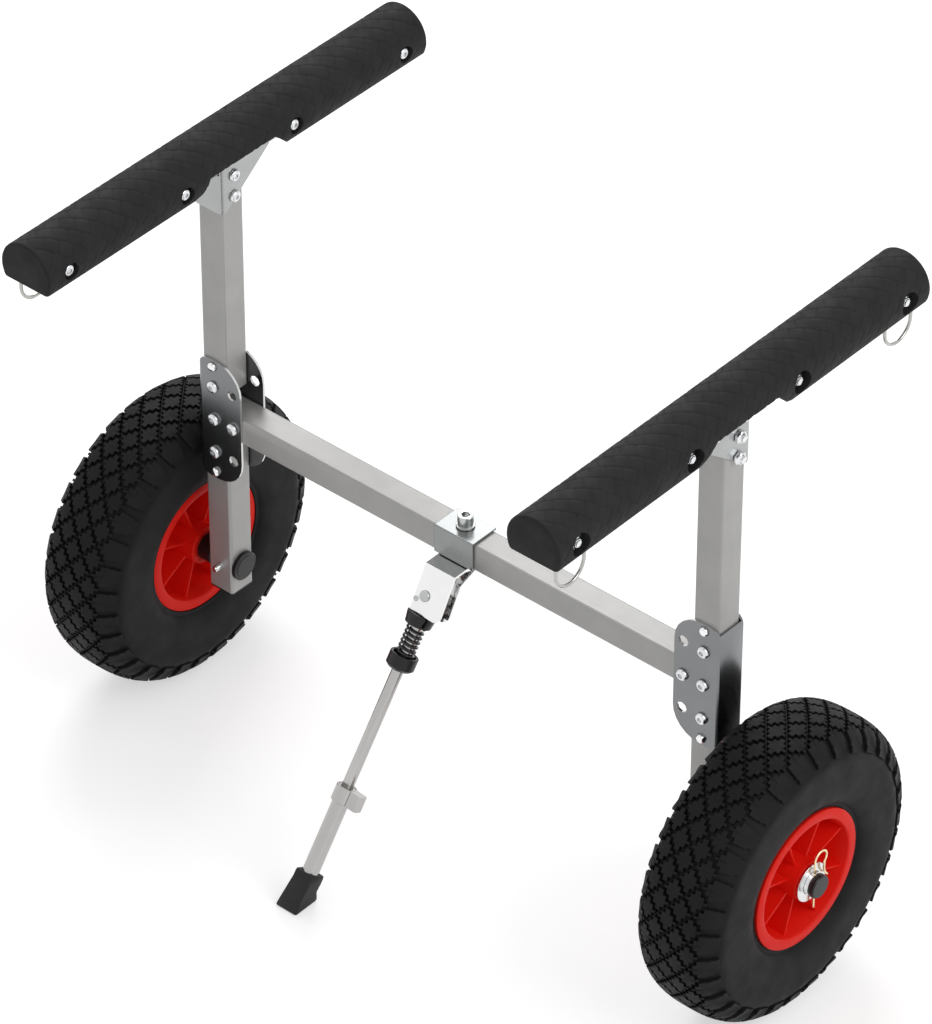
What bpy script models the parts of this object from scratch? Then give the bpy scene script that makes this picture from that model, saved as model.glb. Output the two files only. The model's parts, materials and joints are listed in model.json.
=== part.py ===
"""A folding two-wheeled paddleboard cart with two padded rails and a spring-loaded prop stand.

Metres, +Z up. X runs along the cross beam, Y along the pads, and the stand leans towards -Y.
The origin is on the floor under the middle of the beam. Each side is modelled once in a side
frame, whose X points inwards from the post's centre, and the right side is the left side turned
half a turn about Z.
"""

import math

import bmesh
import bpy
from mathutils import Matrix, Vector

MM = 0.001
GAP = 0.3 * MM

# Driving dimensions
TUBE = 25 * MM
TUBE_WALL = 1.6 * MM
TUBE_CORNER = 2 * MM
SHEET = 2 * MM
POST_X = 253.5 * MM
TYRE_R = 131 * MM
TYRE_WIDTH = 80 * MM
PIVOT_DROP = 33 * MM
AXLE_DROP = 119.3 * MM
PAD_LENGTH = 435 * MM
PAD_R = 25.7 * MM
RAIL_RISE = 12.6 * MM
PAD_ABOVE_BEAM = 245.4 * MM
STAND_LEAN = math.radians(30)
STAND_SWING = math.radians(4.2)

# Places that follow from them
AXLE_Z = TYRE_R
LOWER_PIVOT_Z = AXLE_Z + AXLE_DROP
BEAM_Z = LOWER_PIVOT_Z + PIVOT_DROP
UPPER_PIVOT_Z = BEAM_Z + PIVOT_DROP
PAD_Z = BEAM_Z + PAD_ABOVE_BEAM
RAIL_Z = PAD_Z + RAIL_RISE
WHEEL_OUT = 61 * MM
HALF = TUBE / 2

# Bolts, holes and the corner brackets
BOLT_R = 3 * MM
HOLE_R = 3.4 * MM
HEAD_R = 5.25 * MM
HEAD_H = 3 * MM
NUT_R = 5.7 * MM
NUT_H = 4.5 * MM
BOLT_SIDES = 8
HOLE_SIDES = 8
POST_END = 5.6 * MM
AXLE_TO_POST_END = 24.2 * MM
BRACKET_WEB = 14.0 * MM
BRACKET_FLANGE = 12.6 * MM
BRACKET_INNER_EDGE = 29 * MM
BRACKET_HALF_H = 59.4 * MM
BRACKET_BIG_R = 26 * MM
BRACKET_SMALL_R = 11 * MM
INNER_BOLT_U = 20 * MM
BUTTON_RISE = 20.2 * MM
BUTTON_R = 4 * MM
LOCK_HOLE_R = 4.9 * MM
BUTTON_HOLE_R = 4.5 * MM
BUTTON_PROUD = 3.2 * MM

# Pads and their brackets
PAD_BOLT_Y = (62.7 * MM, 192.5 * MM)
RAIL_BOLT_Y = (-2 * MM, 31 * MM)
RAIL_LENGTH = 415 * MM
PAD_BRACKET_BOLT_DROPS = (5.5 * MM, 25.5 * MM)
PAD_BRACKET_LOW = -37 * MM
FLANGE_TOP = 20 * MM
FLANGE_REACH = 41.5 * MM
PAD_BOLT_GRIP = 36 * MM
PAD_BOLT_SHIFT = 1 * MM
HEAD_RECESS_R = 7.5 * MM
NUT_RECESS_R = 10 * MM
RING_WIRE_R = 1.5 * MM
RING_OUT = 14.4 * MM
RING_R = 15.9 * MM
RING_DROP = 25.1 * MM
RING_TOP = 6 * MM

# The notch under the pad over the bracket, in millimetres along it and up from its base.
NOTCH = (
    (-53.7, -1),
    (-53.7, 0),
    (-45, 4),
    (-37, 15.65),
    (37, 15.65),
    (52, 3),
    (54.2, 0),
    (54.2, -1),
)

# Wheels and axles, measured outwards from the post's centre. The tread is cut into flat-topped
# knobs, KNOB_TOP percent across, whose tops stand on the floor a little below the crown's curve.
BEAD_R = 60.6 * MM
SHOULDER = 0.68
TREAD_COUNT = 32
TREAD_CELL = 10.4 * MM
TREAD_ROWS = 3
TREAD_DEPTH = 3.4 * MM
KNOB_TOP = 78
CROWN_R = TYRE_R + 0.18 * MM
RIM_R = 61.2 * MM
RIM_HALF_W = 33.7 * MM
RIM_LIP = 20 * MM
DISH_R = 52.5 * MM
WEB_HALF = 3 * MM
RIB_HALF_W = 22 * MM
HUB_R = 17 * MM
AXLE_R = 10 * MM
SPACER_R = 11.8 * MM
SPACER_END = 26.5 * MM
HUB_OUT = 98.4 * MM
WASHER_OUT = 100.7 * MM
CLIP_OUT = 103.2 * MM
AXLE_OUT = 110.1 * MM
AXLE_IN = 17.1 * MM
CLIP_WIRE_R = 1 * MM
CLIP_LOOP_R = 7.1 * MM
CLIP_LOOP_Z = 21.3 * MM

# The stand, measured along its leg from the pivot pin
PIN_FROM_BEAM = Vector((-5.3, -35.2, -37.8)) * MM
CLAMP_X = 1 * MM
PIN_R = 3 * MM
SEAT_TOP = 15.9 * MM
SEAT_H = 9.6 * MM
SLOT_DEPTH = 8 * MM
SPRING_END = 52 * MM
SPRING_R = 7 * MM
SPRING_WIRE_R = 1.1 * MM
SPRING_TURNS = 6.5
COLLAR_H = 13 * MM
ROD_R = 5 * MM
ROD_END = 197 * MM
TUBE_TOP = 172 * MM
TUBE_END = 258 * MM
LEG_TUBE_R = 7 * MM
CLAMP_RING_H = 14 * MM
FOOT_TOP = 250 * MM
FOOT_SOLE = (-41.5 * MM, -18.5 * MM, -184 * MM, -157.5 * MM)
FORK_GAP = 10.4 * MM
FORK_HALF_W = 15 * MM
FORK_MID_N = 11.6 * MM

LEFT, RIGHT = "left", "right"


def start_scene():
    for obj in list(bpy.data.objects):
        bpy.data.objects.remove(obj, do_unlink=True)
    made = {}
    for name in ("paddleboard_cart", "cutters"):
        made[name] = bpy.data.collections.new(name)
        bpy.context.scene.collection.children.link(made[name])
    made["cutters"].hide_render = True
    return made["paddleboard_cart"], made["cutters"]


PARTS, CUTTERS = start_scene()


def material(name, colour, roughness, metallic=0.0):
    made = bpy.data.materials.new(name)
    made.use_nodes = True
    shader = made.node_tree.nodes["Principled BSDF"]
    shader.inputs["Base Color"].default_value = (*colour, 1)
    shader.inputs["Roughness"].default_value = roughness
    shader.inputs["Metallic"].default_value = metallic
    made.diffuse_color = (*colour, 1)
    return made


ALUMINIUM = material("brushed_aluminium", (0.56, 0.56, 0.55), 0.4, 1.0)
PLATE = material("steel_plate", (0.42, 0.42, 0.42), 0.35, 1.0)
ZINC = material("zinc_plate", (0.66, 0.67, 0.68), 0.3, 1.0)
CHROME = material("polished_steel", (0.8, 0.8, 0.8), 0.12, 1.0)
BRASS = material("gold_wire", (0.75, 0.6, 0.3), 0.3, 1.0)
FOAM = material("black_foam", (0.028, 0.028, 0.029), 0.85)
RUBBER = material("black_rubber", (0.02, 0.02, 0.02), 0.7)
RED = material("red_plastic", (0.75, 0.03, 0.02), 0.35)
BLACK = material("black_plastic", (0.015, 0.015, 0.015), 0.45)


def link(obj, name, finish, smooth=False):
    """Names a new object, gives it its material and puts it among the parts."""
    obj.name = name
    obj.data.materials.clear()
    obj.data.materials.append(finish)
    for old in list(obj.users_collection):
        old.objects.unlink(obj)
    PARTS.objects.link(obj)
    if smooth and obj.type == "MESH":
        shade(obj.data)
    return obj


def shade(mesh):
    mesh.shade_smooth()
    mesh.set_sharp_from_angle(angle=math.radians(35))


def mesh_object(name, bm, finish, smooth=False):
    mesh = bpy.data.meshes.new(name)
    bmesh.ops.recalc_face_normals(bm, faces=bm.faces)
    bm.to_mesh(mesh)
    bm.free()
    return link(bpy.data.objects.new(name, mesh), name, finish, smooth)


def as_cutter(obj):
    PARTS.objects.unlink(obj)
    CUTTERS.objects.link(obj)
    obj.hide_render = True
    obj.display_type = "WIRE"
    return obj


def facing(axis):
    """Turns Z onto the named axis."""
    return {
        "X": Matrix.Rotation(math.pi / 2, 4, "Y"),
        "Y": Matrix.Rotation(-math.pi / 2, 4, "X"),
        "Z": Matrix.Identity(4),
    }[axis]


def rods(name, places, finish=BLACK):
    """Cylinders in one mesh. Each place is (centre, axis, radius, length, sides)."""
    bm = bmesh.new()
    for centre, axis, radius, length, sides in places:
        bmesh.ops.create_cone(
            bm,
            cap_ends=True,
            segments=sides,
            radius1=radius,
            radius2=radius,
            depth=length,
            matrix=Matrix.Translation(centre) @ facing(axis),
        )
    return mesh_object(name, bm, finish, smooth=True)


def block(name, low, high, finish=BLACK):
    bm = bmesh.new()
    size = Vector(high) - Vector(low)
    middle = (Vector(high) + Vector(low)) / 2
    place = Matrix.Translation(middle) @ Matrix.Diagonal((*size, 1))
    bmesh.ops.create_cube(bm, size=1, matrix=place)
    return mesh_object(name, bm, finish)


def combine(obj, other, operation):
    """Applies a Boolean to the first object and removes or keeps the other as a cutter."""
    modifier = obj.modifiers.new(operation.lower(), "BOOLEAN")
    modifier.operation = operation
    modifier.object = other
    modifier.solver = "EXACT"
    if other.name not in CUTTERS.objects:
        as_cutter(other)
    return obj


def cut(obj, cutter):
    return combine(obj, cutter, "DIFFERENCE")


def join(obj, other):
    return combine(obj, other, "UNION")


def drill(obj, places):
    """Cuts round holes. Each place is (centre, axis, radius, length)."""
    holes = rods(obj.name + "_holes", [(*place, HOLE_SIDES) for place in places])
    return cut(obj, holes)


def arc(centre, radius, start, end, steps):
    """Points along an arc, angles in degrees."""
    points = []
    for i in range(steps + 1):
        angle = math.radians(start + (end - start) * i / steps)
        points.append((centre[0] + radius * math.cos(angle), centre[1] + radius * math.sin(angle)))
    return points


SQUARE = ((1, 1), (-1, 1), (-1, -1), (1, -1))


def rounded_square(half, radius, steps=2):
    points = []
    inner = half - radius
    for quarter, (sx, sy) in enumerate(SQUARE):
        corner = (sx * inner, sy * inner)
        points += arc(corner, radius, 90 * quarter, 90 * quarter + 90, steps)
    return points


def outline(name, loops, thickness, finish, place=Matrix.Identity(4)):
    """A flat outline with holes, extruded both ways by half its thickness, as a welded mesh."""
    curve = bpy.data.curves.new(name, "CURVE")
    curve.dimensions = "2D"
    curve.fill_mode = "BOTH"
    curve.extrude = thickness / 2
    for loop in loops:
        spline = curve.splines.new("POLY")
        spline.points.add(len(loop) - 1)
        for point, (x, y) in zip(spline.points, loop):
            point.co = (x, y, 0, 1)
        spline.use_cyclic_u = True
    guide = bpy.data.objects.new(name + "_outline", curve)
    guide.matrix_world = place
    return welded_mesh(guide, name, finish)


def welded_mesh(guide, name, finish, smooth=False):
    """The mesh of a curve object, with its loose caps welded, in place of the curve."""
    bpy.context.scene.collection.objects.link(guide)
    bpy.context.view_layer.update()
    graph = bpy.context.evaluated_depsgraph_get()
    mesh = bpy.data.meshes.new_from_object(guide.evaluated_get(graph))
    bm = bmesh.new()
    bm.from_mesh(mesh)
    bmesh.ops.remove_doubles(bm, verts=bm.verts, dist=0.00001)
    bm.to_mesh(mesh)
    bm.free()
    obj = bpy.data.objects.new(name, mesh)
    obj.matrix_world = guide.matrix_world.copy()
    bpy.data.objects.remove(guide, do_unlink=True)
    mesh.transform(obj.matrix_world)
    obj.matrix_world = Matrix.Identity(4)
    return link(obj, name, finish, smooth)


def turned(name, profile, finish, steps=32, place=Matrix.Identity(4), closed=False):
    """A profile of (radius, height) pairs, top to bottom down its outer side, screwed about Z."""
    bm = bmesh.new()
    corners = [bm.verts.new((r, 0, z)) for r, z in profile]
    for first, second in zip(corners, corners[1:]):
        bm.edges.new((first, second))
    if closed:
        bm.edges.new((corners[-1], corners[0]))
    mesh = bpy.data.meshes.new(name)
    bm.to_mesh(mesh)
    bm.free()
    obj = link(bpy.data.objects.new(name, mesh), name, finish)
    screw = obj.modifiers.new("turn", "SCREW")
    screw.axis = "Z"
    screw.steps = steps
    screw.render_steps = steps
    screw.use_merge_vertices = True
    screw.merge_threshold = 0.00001
    screw.use_smooth_shade = True
    obj.matrix_world = place
    return settled(obj)


def settled(obj):
    """Applies an object's modifiers and place, so that it can be cut or joined in the side frame."""
    bpy.context.view_layer.update()
    graph = bpy.context.evaluated_depsgraph_get()
    mesh = bpy.data.meshes.new_from_object(obj.evaluated_get(graph))
    mesh.transform(obj.matrix_world)
    obj.modifiers.clear()
    obj.data = mesh
    obj.matrix_world = Matrix.Identity(4)
    bm = bmesh.new()
    bm.from_mesh(mesh)
    bmesh.ops.recalc_face_normals(bm, faces=bm.faces)
    bm.to_mesh(mesh)
    bm.free()
    shade(mesh)
    return obj


def wire(name, points, radius, finish, resolution=1, cyclic=False):
    """A wire along points, as a curve with filled caps."""
    curve = bpy.data.curves.new(name, "CURVE")
    curve.dimensions = "3D"
    curve.bevel_depth = radius
    curve.bevel_resolution = resolution
    curve.use_fill_caps = not cyclic
    spline = curve.splines.new("POLY")
    spline.points.add(len(points) - 1)
    for point, place in zip(spline.points, points):
        point.co = (*place, 1)
    spline.use_cyclic_u = cyclic
    spline.use_smooth = True
    return link(bpy.data.objects.new(name, curve), name, finish)


def empty(name, parent=None, at=(0, 0, 0), turn=(0, 0, 0)):
    obj = bpy.data.objects.new(name, None)
    obj.empty_display_size = 0.02
    obj.parent = parent
    obj.location = at
    obj.rotation_euler = turn
    PARTS.objects.link(obj)
    return obj


def hang(obj, pivot, at=(0, 0, 0)):
    """Parents a piece, modelled in its side's frame, to a pivot that stands at a point of it."""
    obj.parent = pivot
    obj.location = Vector(obj.location) - Vector(at)
    for modifier in obj.modifiers:
        if modifier.type == "BOOLEAN":
            modifier.object.parent = pivot
            modifier.object.location = -Vector(at)
    return obj


def square_tube(name, length, centre, axis, finish, wall=TUBE_WALL):
    loops = [
        rounded_square(HALF, TUBE_CORNER),
        [(x * (HALF - wall), y * (HALF - wall)) for x, y in SQUARE],
    ]
    return outline(name, loops, length, finish, Matrix.Translation(centre) @ facing(axis))


def bolt(name, centre, axis, grip, head_side=-1, finish=ZINC):
    """A button-head bolt through a grip, with its nut, joined in one body."""
    near, far = grip / 2, -grip / 2
    end = far - NUT_H + MM
    profile = [(0, near + HEAD_H), (HEAD_R * 0.7, near + HEAD_H * 0.85), (HEAD_R, near)]
    profile += [(BOLT_R, near), (BOLT_R, end), (0, end)]
    turn = facing(axis)
    if head_side < 0:
        turn = turn @ Matrix.Rotation(math.pi, 4, "X")
    place = Matrix.Translation(centre) @ turn
    made = turned(name, profile, finish, BOLT_SIDES, place)
    bm = bmesh.new()
    bmesh.ops.create_cone(
        bm,
        cap_ends=True,
        segments=6,
        radius1=NUT_R,
        radius2=NUT_R,
        depth=NUT_H,
        matrix=place @ Matrix.Translation((0, 0, far - NUT_H / 2)),
    )
    nut = mesh_object(name + "_nut", bm, finish)
    return join(made, nut)


def make_beam():
    length = 2 * (POST_X + BRACKET_WEB - GAP)
    beam = square_tube("cross_beam", length, (0, 0, BEAM_Z), "X", ALUMINIUM)
    places = []
    for side in (-1, 1):
        for inward in (0, INNER_BOLT_U):
            x = side * (POST_X - inward)
            places.append(((x, 0, BEAM_Z), "Y", HOLE_R, 2 * TUBE))
    places.append(((CLAMP_X, 0, BEAM_Z), "Z", HOLE_R, 2 * TUBE))
    return drill(beam, places)


def bracket_outline():
    """The plate's outline from the side, in (x, z): rounded to the web, more so to the inner edge."""
    web = -(BRACKET_WEB + SHEET)
    small = (web + BRACKET_SMALL_R, BRACKET_HALF_H - BRACKET_SMALL_R)
    big = (BRACKET_INNER_EDGE - BRACKET_BIG_R, BRACKET_HALF_H - BRACKET_BIG_R)
    upper = arc(big, BRACKET_BIG_R, 0, 90, 6) + arc(small, BRACKET_SMALL_R, 90, 180, 3)
    lower = [(x, -z) for x, z in reversed(upper)]
    return upper + lower


def make_corner_bracket(side, root, front):
    """A sheet channel, web outwards, whose flanges hold the beam and both posts."""
    web_out = -(BRACKET_WEB + SHEET)
    flange_out = BRACKET_FLANGE + SHEET
    bend = 3 * MM
    outer = [(BRACKET_INNER_EDGE + MM, flange_out)]
    outer += arc((web_out + bend, flange_out - bend), bend, 90, 180, 2)
    outer += arc((web_out + bend, bend - flange_out), bend, 180, 270, 2)
    outer += [(BRACKET_INNER_EDGE + MM, -flange_out)]
    inner = [(BRACKET_INNER_EDGE + MM, -BRACKET_FLANGE), (-BRACKET_WEB, -BRACKET_FLANGE)]
    inner += [(-BRACKET_WEB, BRACKET_FLANGE), (BRACKET_INNER_EDGE + MM, BRACKET_FLANGE)]
    name = side + "_corner_bracket"
    place = Matrix.Translation((0, 0, BEAM_Z))
    channel = outline(name, [outer + inner], 2 * BRACKET_HALF_H + MM, PLATE, place)
    upright = place @ Matrix.Rotation(math.pi / 2, 4, "X")
    shape = outline(name + "_shape", [bracket_outline()], 3 * TUBE, PLATE, upright)
    combine(channel, shape, "INTERSECT")
    places = []
    for u, z in ((0, PIVOT_DROP), (0, 0), (0, -PIVOT_DROP), (INNER_BOLT_U, 0)):
        places.append(((u, 0, BEAM_Z + z), "Y", HOLE_R, 3 * TUBE))
    for way in (-1, 1):
        lock = (BUTTON_RISE, 0, BEAM_Z + way * PIVOT_DROP)
        places.append((lock, "Y", LOCK_HOLE_R, 3 * TUBE))
        button = (0, front * TUBE, BEAM_Z + way * (PIVOT_DROP + BUTTON_RISE))
        places.append((button, "Y", BUTTON_HOLE_R, 1.5 * TUBE))
    drill(channel, places)
    hang(channel, root)


def make_snap_clip(side, name, pivot, at, height, front):
    """A bent spring strip inside the post, with the button that locks the fold."""
    inner = HALF - TUBE_WALL - GAP
    strip = 0.8 * MM
    half_width = 4.7 * MM
    legs = 15 * MM
    lead = 1 if height > BEAM_Z else -1
    front_y = inner - 0.6 * MM
    path = [(front_y, -0.35 * legs), (front_y, 0.4 * legs), (0, 1.4 * legs), (-inner, 0.4 * legs)]
    path += [(-inner, -0.2 * legs), (strip - inner, -0.2 * legs), (strip - inner, 0.4 * legs)]
    path += [(0, 1.4 * legs - 2.5 * strip), (front_y - strip, 0.4 * legs)]
    path += [(front_y - strip, -0.35 * legs)]
    loop = [(-front * y, lead * z) for y, z in path]
    place = Matrix.Translation((0, 0, height)) @ Matrix.Rotation(math.pi / 2, 4, "Z")
    place = place @ Matrix.Rotation(math.pi / 2, 4, "X")
    clip = outline(name, [[(-y, z) for y, z in loop]], 2 * half_width, CHROME, place)
    reach = BRACKET_FLANGE + SHEET + BUTTON_PROUD
    start = front_y - strip / 2
    middle = front * (reach + start) / 2
    button = rods(name + "_button", [((0, middle, height), "Y", BUTTON_R, reach - start, 12)])
    join(clip, button)
    hang(clip, pivot, at)


def make_posts(side, lower, upper, lower_at, upper_at, front):
    top = PAD_Z - GAP
    bottom = UPPER_PIVOT_Z - POST_END
    centre = (0, 0, (top + bottom) / 2)
    post = square_tube(side + "_upper_post", top - bottom, centre, "Z", ALUMINIUM)
    places = [((0, 0, UPPER_PIVOT_Z), "Y", HOLE_R, 2 * TUBE)]
    button = (0, front * HALF, UPPER_PIVOT_Z + BUTTON_RISE)
    places.append((button, "Y", BUTTON_R + GAP, TUBE / 2))
    for drop in PAD_BRACKET_BOLT_DROPS:
        places.append(((0, 0, PAD_Z - drop), "X", HOLE_R, 2 * TUBE))
    drill(post, places)
    hang(post, upper, upper_at)

    top = LOWER_PIVOT_Z + POST_END
    bottom = AXLE_Z - AXLE_TO_POST_END
    centre = (0, 0, (top + bottom) / 2)
    post = square_tube(side + "_lower_post", top - bottom, centre, "Z", ALUMINIUM)
    places = [((0, 0, LOWER_PIVOT_Z), "Y", HOLE_R, 2 * TUBE)]
    button = (0, front * HALF, LOWER_PIVOT_Z - BUTTON_RISE)
    places.append((button, "Y", BUTTON_R + GAP, TUBE / 2))
    drill(post, places)
    axle_hole = rods(
        side + "_axle_hole", [((0, 0, AXLE_Z), "X", AXLE_R + GAP, 2 * TUBE, 24)]
    )
    cut(post, axle_hole)
    hang(post, lower, lower_at)


def make_pad_bracket(side, upper, upper_at):
    """A sheet channel up the post's back, whose flanges reach forwards in a gusset under the rail."""
    web_out = -(HALF + GAP + SHEET)
    flange_in = HALF + GAP
    front_top = FLANGE_REACH
    low = PAD_BRACKET_LOW
    bend = 3 * MM
    flange_out = flange_in + SHEET
    y_end = front_top + MM
    outer = [(flange_out, y_end)]
    outer += arc((flange_out - bend, web_out + bend), bend, 0, -90, 2)
    outer += arc((bend - flange_out, web_out + bend), bend, -90, -180, 2)
    outer += [(-flange_out, y_end)]
    inner = [(-flange_in, y_end), (-flange_in, web_out + SHEET)]
    inner += [(flange_in, web_out + SHEET), (flange_in, y_end)]
    name = side + "_pad_bracket"
    high = FLANGE_TOP
    place = Matrix.Translation((0, 0, PAD_Z + (low + high) / 2))
    channel = outline(name, [outer + inner], high - low, ZINC, place)
    side_view = [
        (web_out - MM, low),
        (web_out + 5 * MM, low - GAP),
        (front_top, 2.5 * MM),
        (front_top, high + MM),
        (web_out - MM, high + MM),
    ]
    upright = Matrix.Translation((0, 0, PAD_Z)) @ Matrix.Rotation(math.pi / 2, 4, "Z")
    upright = upright @ Matrix.Rotation(math.pi / 2, 4, "X")
    shape = outline(name + "_shape", [side_view], 3 * TUBE, ZINC, upright)
    combine(channel, shape, "INTERSECT")
    over_web = block(
        name + "_over_web",
        (-flange_in, web_out - MM, PAD_Z - GAP),
        (flange_in, web_out + SHEET + GAP, PAD_Z + TUBE),
    )
    cut(channel, over_web)
    places = []
    for drop in PAD_BRACKET_BOLT_DROPS:
        places.append(((0, 0, PAD_Z - drop), "X", HOLE_R, 3 * TUBE))
    for y in RAIL_BOLT_Y:
        places.append(((0, y, RAIL_Z), "X", HOLE_R, 3 * TUBE))
    drill(channel, places)
    hang(channel, upper, upper_at)


def pad_section(radius, rise):
    """The pad's end outline in (x, z): a circle cut flat under its centre."""
    drop = math.degrees(math.asin(rise / radius))
    return arc((0, rise), radius, -drop, 180 + drop, 14)


def make_pad(side, upper, upper_at):
    """A foam rail cover with a groove for the rail, a notch over the bracket and bolt recesses."""
    along = Matrix.Translation((0, 0, PAD_Z)) @ Matrix.Rotation(math.pi / 2, 4, "X")
    name = side + "_pad"
    pad = outline(name, [pad_section(PAD_R, RAIL_RISE)], PAD_LENGTH, FOAM, along)

    groove_half = HALF + GAP
    low = (-groove_half, -RAIL_LENGTH / 2 - GAP, PAD_Z - MM)
    high = (groove_half, RAIL_LENGTH / 2 + GAP, RAIL_Z + groove_half)
    cut(pad, block(name + "_groove", low, high))
    slot = HALF + 2 * GAP + SHEET
    low = (-slot, -slot - GAP, PAD_Z - MM)
    high = (slot, FLANGE_REACH + GAP, PAD_Z + FLANGE_TOP + GAP)
    cut(pad, block(name + "_flange_slot", low, high))

    loop = [(y * MM, z * MM) for y, z in NOTCH]
    upright = Matrix.Translation((0, 0, PAD_Z)) @ Matrix.Rotation(math.pi / 2, 4, "Z")
    upright = upright @ Matrix.Rotation(math.pi / 2, 4, "X")
    cut(pad, outline(name + "_notch", [loop], 3 * TUBE, FOAM, upright))

    recesses = []
    for y in (-PAD_BOLT_Y[1], -PAD_BOLT_Y[0], PAD_BOLT_Y[0], PAD_BOLT_Y[1]):
        recesses.append(((PAD_R, y, RAIL_Z), "X", HEAD_RECESS_R, 14 * MM, 12))
        recesses.append(((-PAD_R, y, RAIL_Z), "X", NUT_RECESS_R, 18 * MM, 12))
    cut(pad, rods(name + "_recesses", recesses))
    bores = []
    for y in (-PAD_BOLT_Y[1], PAD_BOLT_Y[1]):
        bores.append(((0, y, RAIL_Z), "X", HOLE_R, 3 * TUBE, 12))
    cut(pad, rods(name + "_bores", bores))
    for way, word in ((-1, "near"), (1, "far")):
        y = way * PAD_BOLT_Y[1]
        low = (-PAD_R, y - 22 * MM, PAD_Z - MM)
        high = (-RING_OUT + 3 * MM, y + 22 * MM, RAIL_Z + 9 * MM)
        cut(pad, block(f"{name}_{word}_ring_pocket", low, high))
    hang(pad, upper, upper_at)


def make_rail(side, upper, upper_at):
    rail = square_tube(side + "_pad_rail", RAIL_LENGTH, (0, 0, RAIL_Z), "Y", ALUMINIUM)
    places = [((0, y, RAIL_Z), "X", HOLE_R, 2 * TUBE) for y in RAIL_BOLT_Y]
    for way in (-1, 1):
        for y in PAD_BOLT_Y:
            places.append(((0, way * y, RAIL_Z), "X", HOLE_R, 2 * TUBE))
    drill(rail, places)
    hang(rail, upper, upper_at)


def ring_points():
    """An elongated link in (y, z) about its bolt: a half circle below and one over the bolt."""
    points = arc((0, -RING_DROP), RING_R, 180, 360, 8)
    points += arc((0, RING_TOP - RING_R), RING_R, 0, 180, 6)
    return points


def make_ring(side, word, way, pivot, at):
    points = []
    for y, z in ring_points():
        points.append((-RING_OUT, way * PAD_BOLT_Y[1] + y, RAIL_Z + z))
    ring = wire(f"{side}_{word}_ring", points, RING_WIRE_R, CHROME, 1, cyclic=True)
    hang(ring, pivot, at)


def section_at(turn):
    """The radius and offset of the tyre's section, a rounded square, at a turn from its crown."""
    across, up = math.sin(turn), math.cos(turn)
    middle = (CROWN_R + BEAD_R) / 2
    half_h = (CROWN_R - BEAD_R) / 2
    offset = TYRE_WIDTH / 2 * math.copysign(abs(across) ** SHOULDER, across)
    return middle + half_h * math.copysign(abs(up) ** SHOULDER, up), offset


def tread_section():
    """The section's points at each row of the tread, evenly spaced along it from the crown."""
    rows = [section_at(0)]
    length, turn, last = 0, 0, rows[0]
    while len(rows) <= TREAD_ROWS:
        turn += math.radians(0.1)
        point = section_at(turn)
        length += math.dist(point, last)
        last = point
        if length >= len(rows) * TREAD_CELL:
            rows.append(point)
    return rows


def tyre_section():
    """The tyre's closed section as (radius, offset) pairs, with its crown in the middle."""
    side = tread_section()[1:] + [section_at(math.radians(turn)) for turn in (90, 135)]
    far = [(radius, -offset) for radius, offset in side]
    return far[::-1] + [section_at(0)] + side + [section_at(math.pi)]


def cut_tread(tyre, section, place):
    """Cuts the tread into flat-topped knobs with a groove between them, and thins out the sides."""
    into = place.inverted()
    crown = len(section) // 2 - 1
    grid = {}
    bm = bmesh.new()
    bm.from_mesh(tyre.data)
    for vert in bm.verts:
        at = into @ vert.co
        around = (math.hypot(at.x, at.y), at.z)
        row = min(range(len(section)), key=lambda i: math.dist(section[i], around)) - crown
        step = round(math.atan2(at.y, at.x) * TREAD_COUNT / math.pi) % (2 * TREAD_COUNT)
        grid[row, step] = vert
    low = {}
    high = []
    spare = {}
    for (row, step), vert in grid.items():
        if abs(row) > TREAD_ROWS:
            if step % 2:
                spare[vert] = grid[row, step - 1]
        elif (row + step) % 2:
            turn = Matrix.Rotation(math.pi * step / TREAD_COUNT, 4, "Z")
            middle = place @ turn @ Vector(((CROWN_R + BEAD_R) / 2, 0, 0))
            low[vert] = TREAD_DEPTH * (middle - vert.co).normalized()
        elif abs(row) < TREAD_ROWS:
            high.append(vert)
    bmesh.ops.connect_verts(bm, verts=list(low))
    bmesh.ops.weld_verts(bm, targetmap=spare)
    bmesh.ops.bevel(
        bm, geom=high, offset=KNOB_TOP, offset_type="PERCENT", segments=1, affect="VERTICES"
    )
    for vert, inwards in low.items():
        vert.co += inwards
    bm.to_mesh(tyre.data)
    bm.free()
    shade(tyre.data)


def make_wheel(side, spin, spin_at):
    place = Matrix.Translation((-WHEEL_OUT, 0, AXLE_Z)) @ facing("X")
    section = tyre_section()
    tyre = turned(side + "_tyre", section, RUBBER, 2 * TREAD_COUNT, place, closed=True)
    cut_tread(tyre, section, place)
    hang(tyre, spin, spin_at)

    hub_half = (HUB_OUT - SPACER_END) / 2 - GAP
    seat = BEAD_R - 2 * MM
    half = [
        (AXLE_R + GAP, hub_half),
        (HUB_R, hub_half),
        (HUB_R, WEB_HALF),
        (DISH_R - 3 * MM, WEB_HALF),
        (DISH_R, RIM_HALF_W),
        (RIM_R, RIM_HALF_W),
        (seat, RIM_LIP),
    ]
    profile = half + [(r, -z) for r, z in reversed(half)]
    hub_place = Matrix.Translation((-(HUB_OUT + SPACER_END) / 2, 0, AXLE_Z)) @ facing("X")
    rim = turned(side + "_rim", profile, RED, 22, hub_place, closed=True)
    bm = bmesh.new()
    for i in range(8):
        turn = Matrix.Rotation(math.radians(45 * i + 22.5), 4, "Z")
        size = Matrix.Diagonal((DISH_R - HUB_R - MM, 2.6 * MM, 2 * RIB_HALF_W, 1))
        centre = Matrix.Translation(((DISH_R + HUB_R - 2 * MM) / 2, 0, 0))
        bmesh.ops.create_cube(bm, size=1, matrix=hub_place @ turn @ centre @ size)
    ribs = mesh_object(side + "_ribs", bm, RED)
    join(rim, ribs)
    hang(rim, spin, spin_at)


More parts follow.
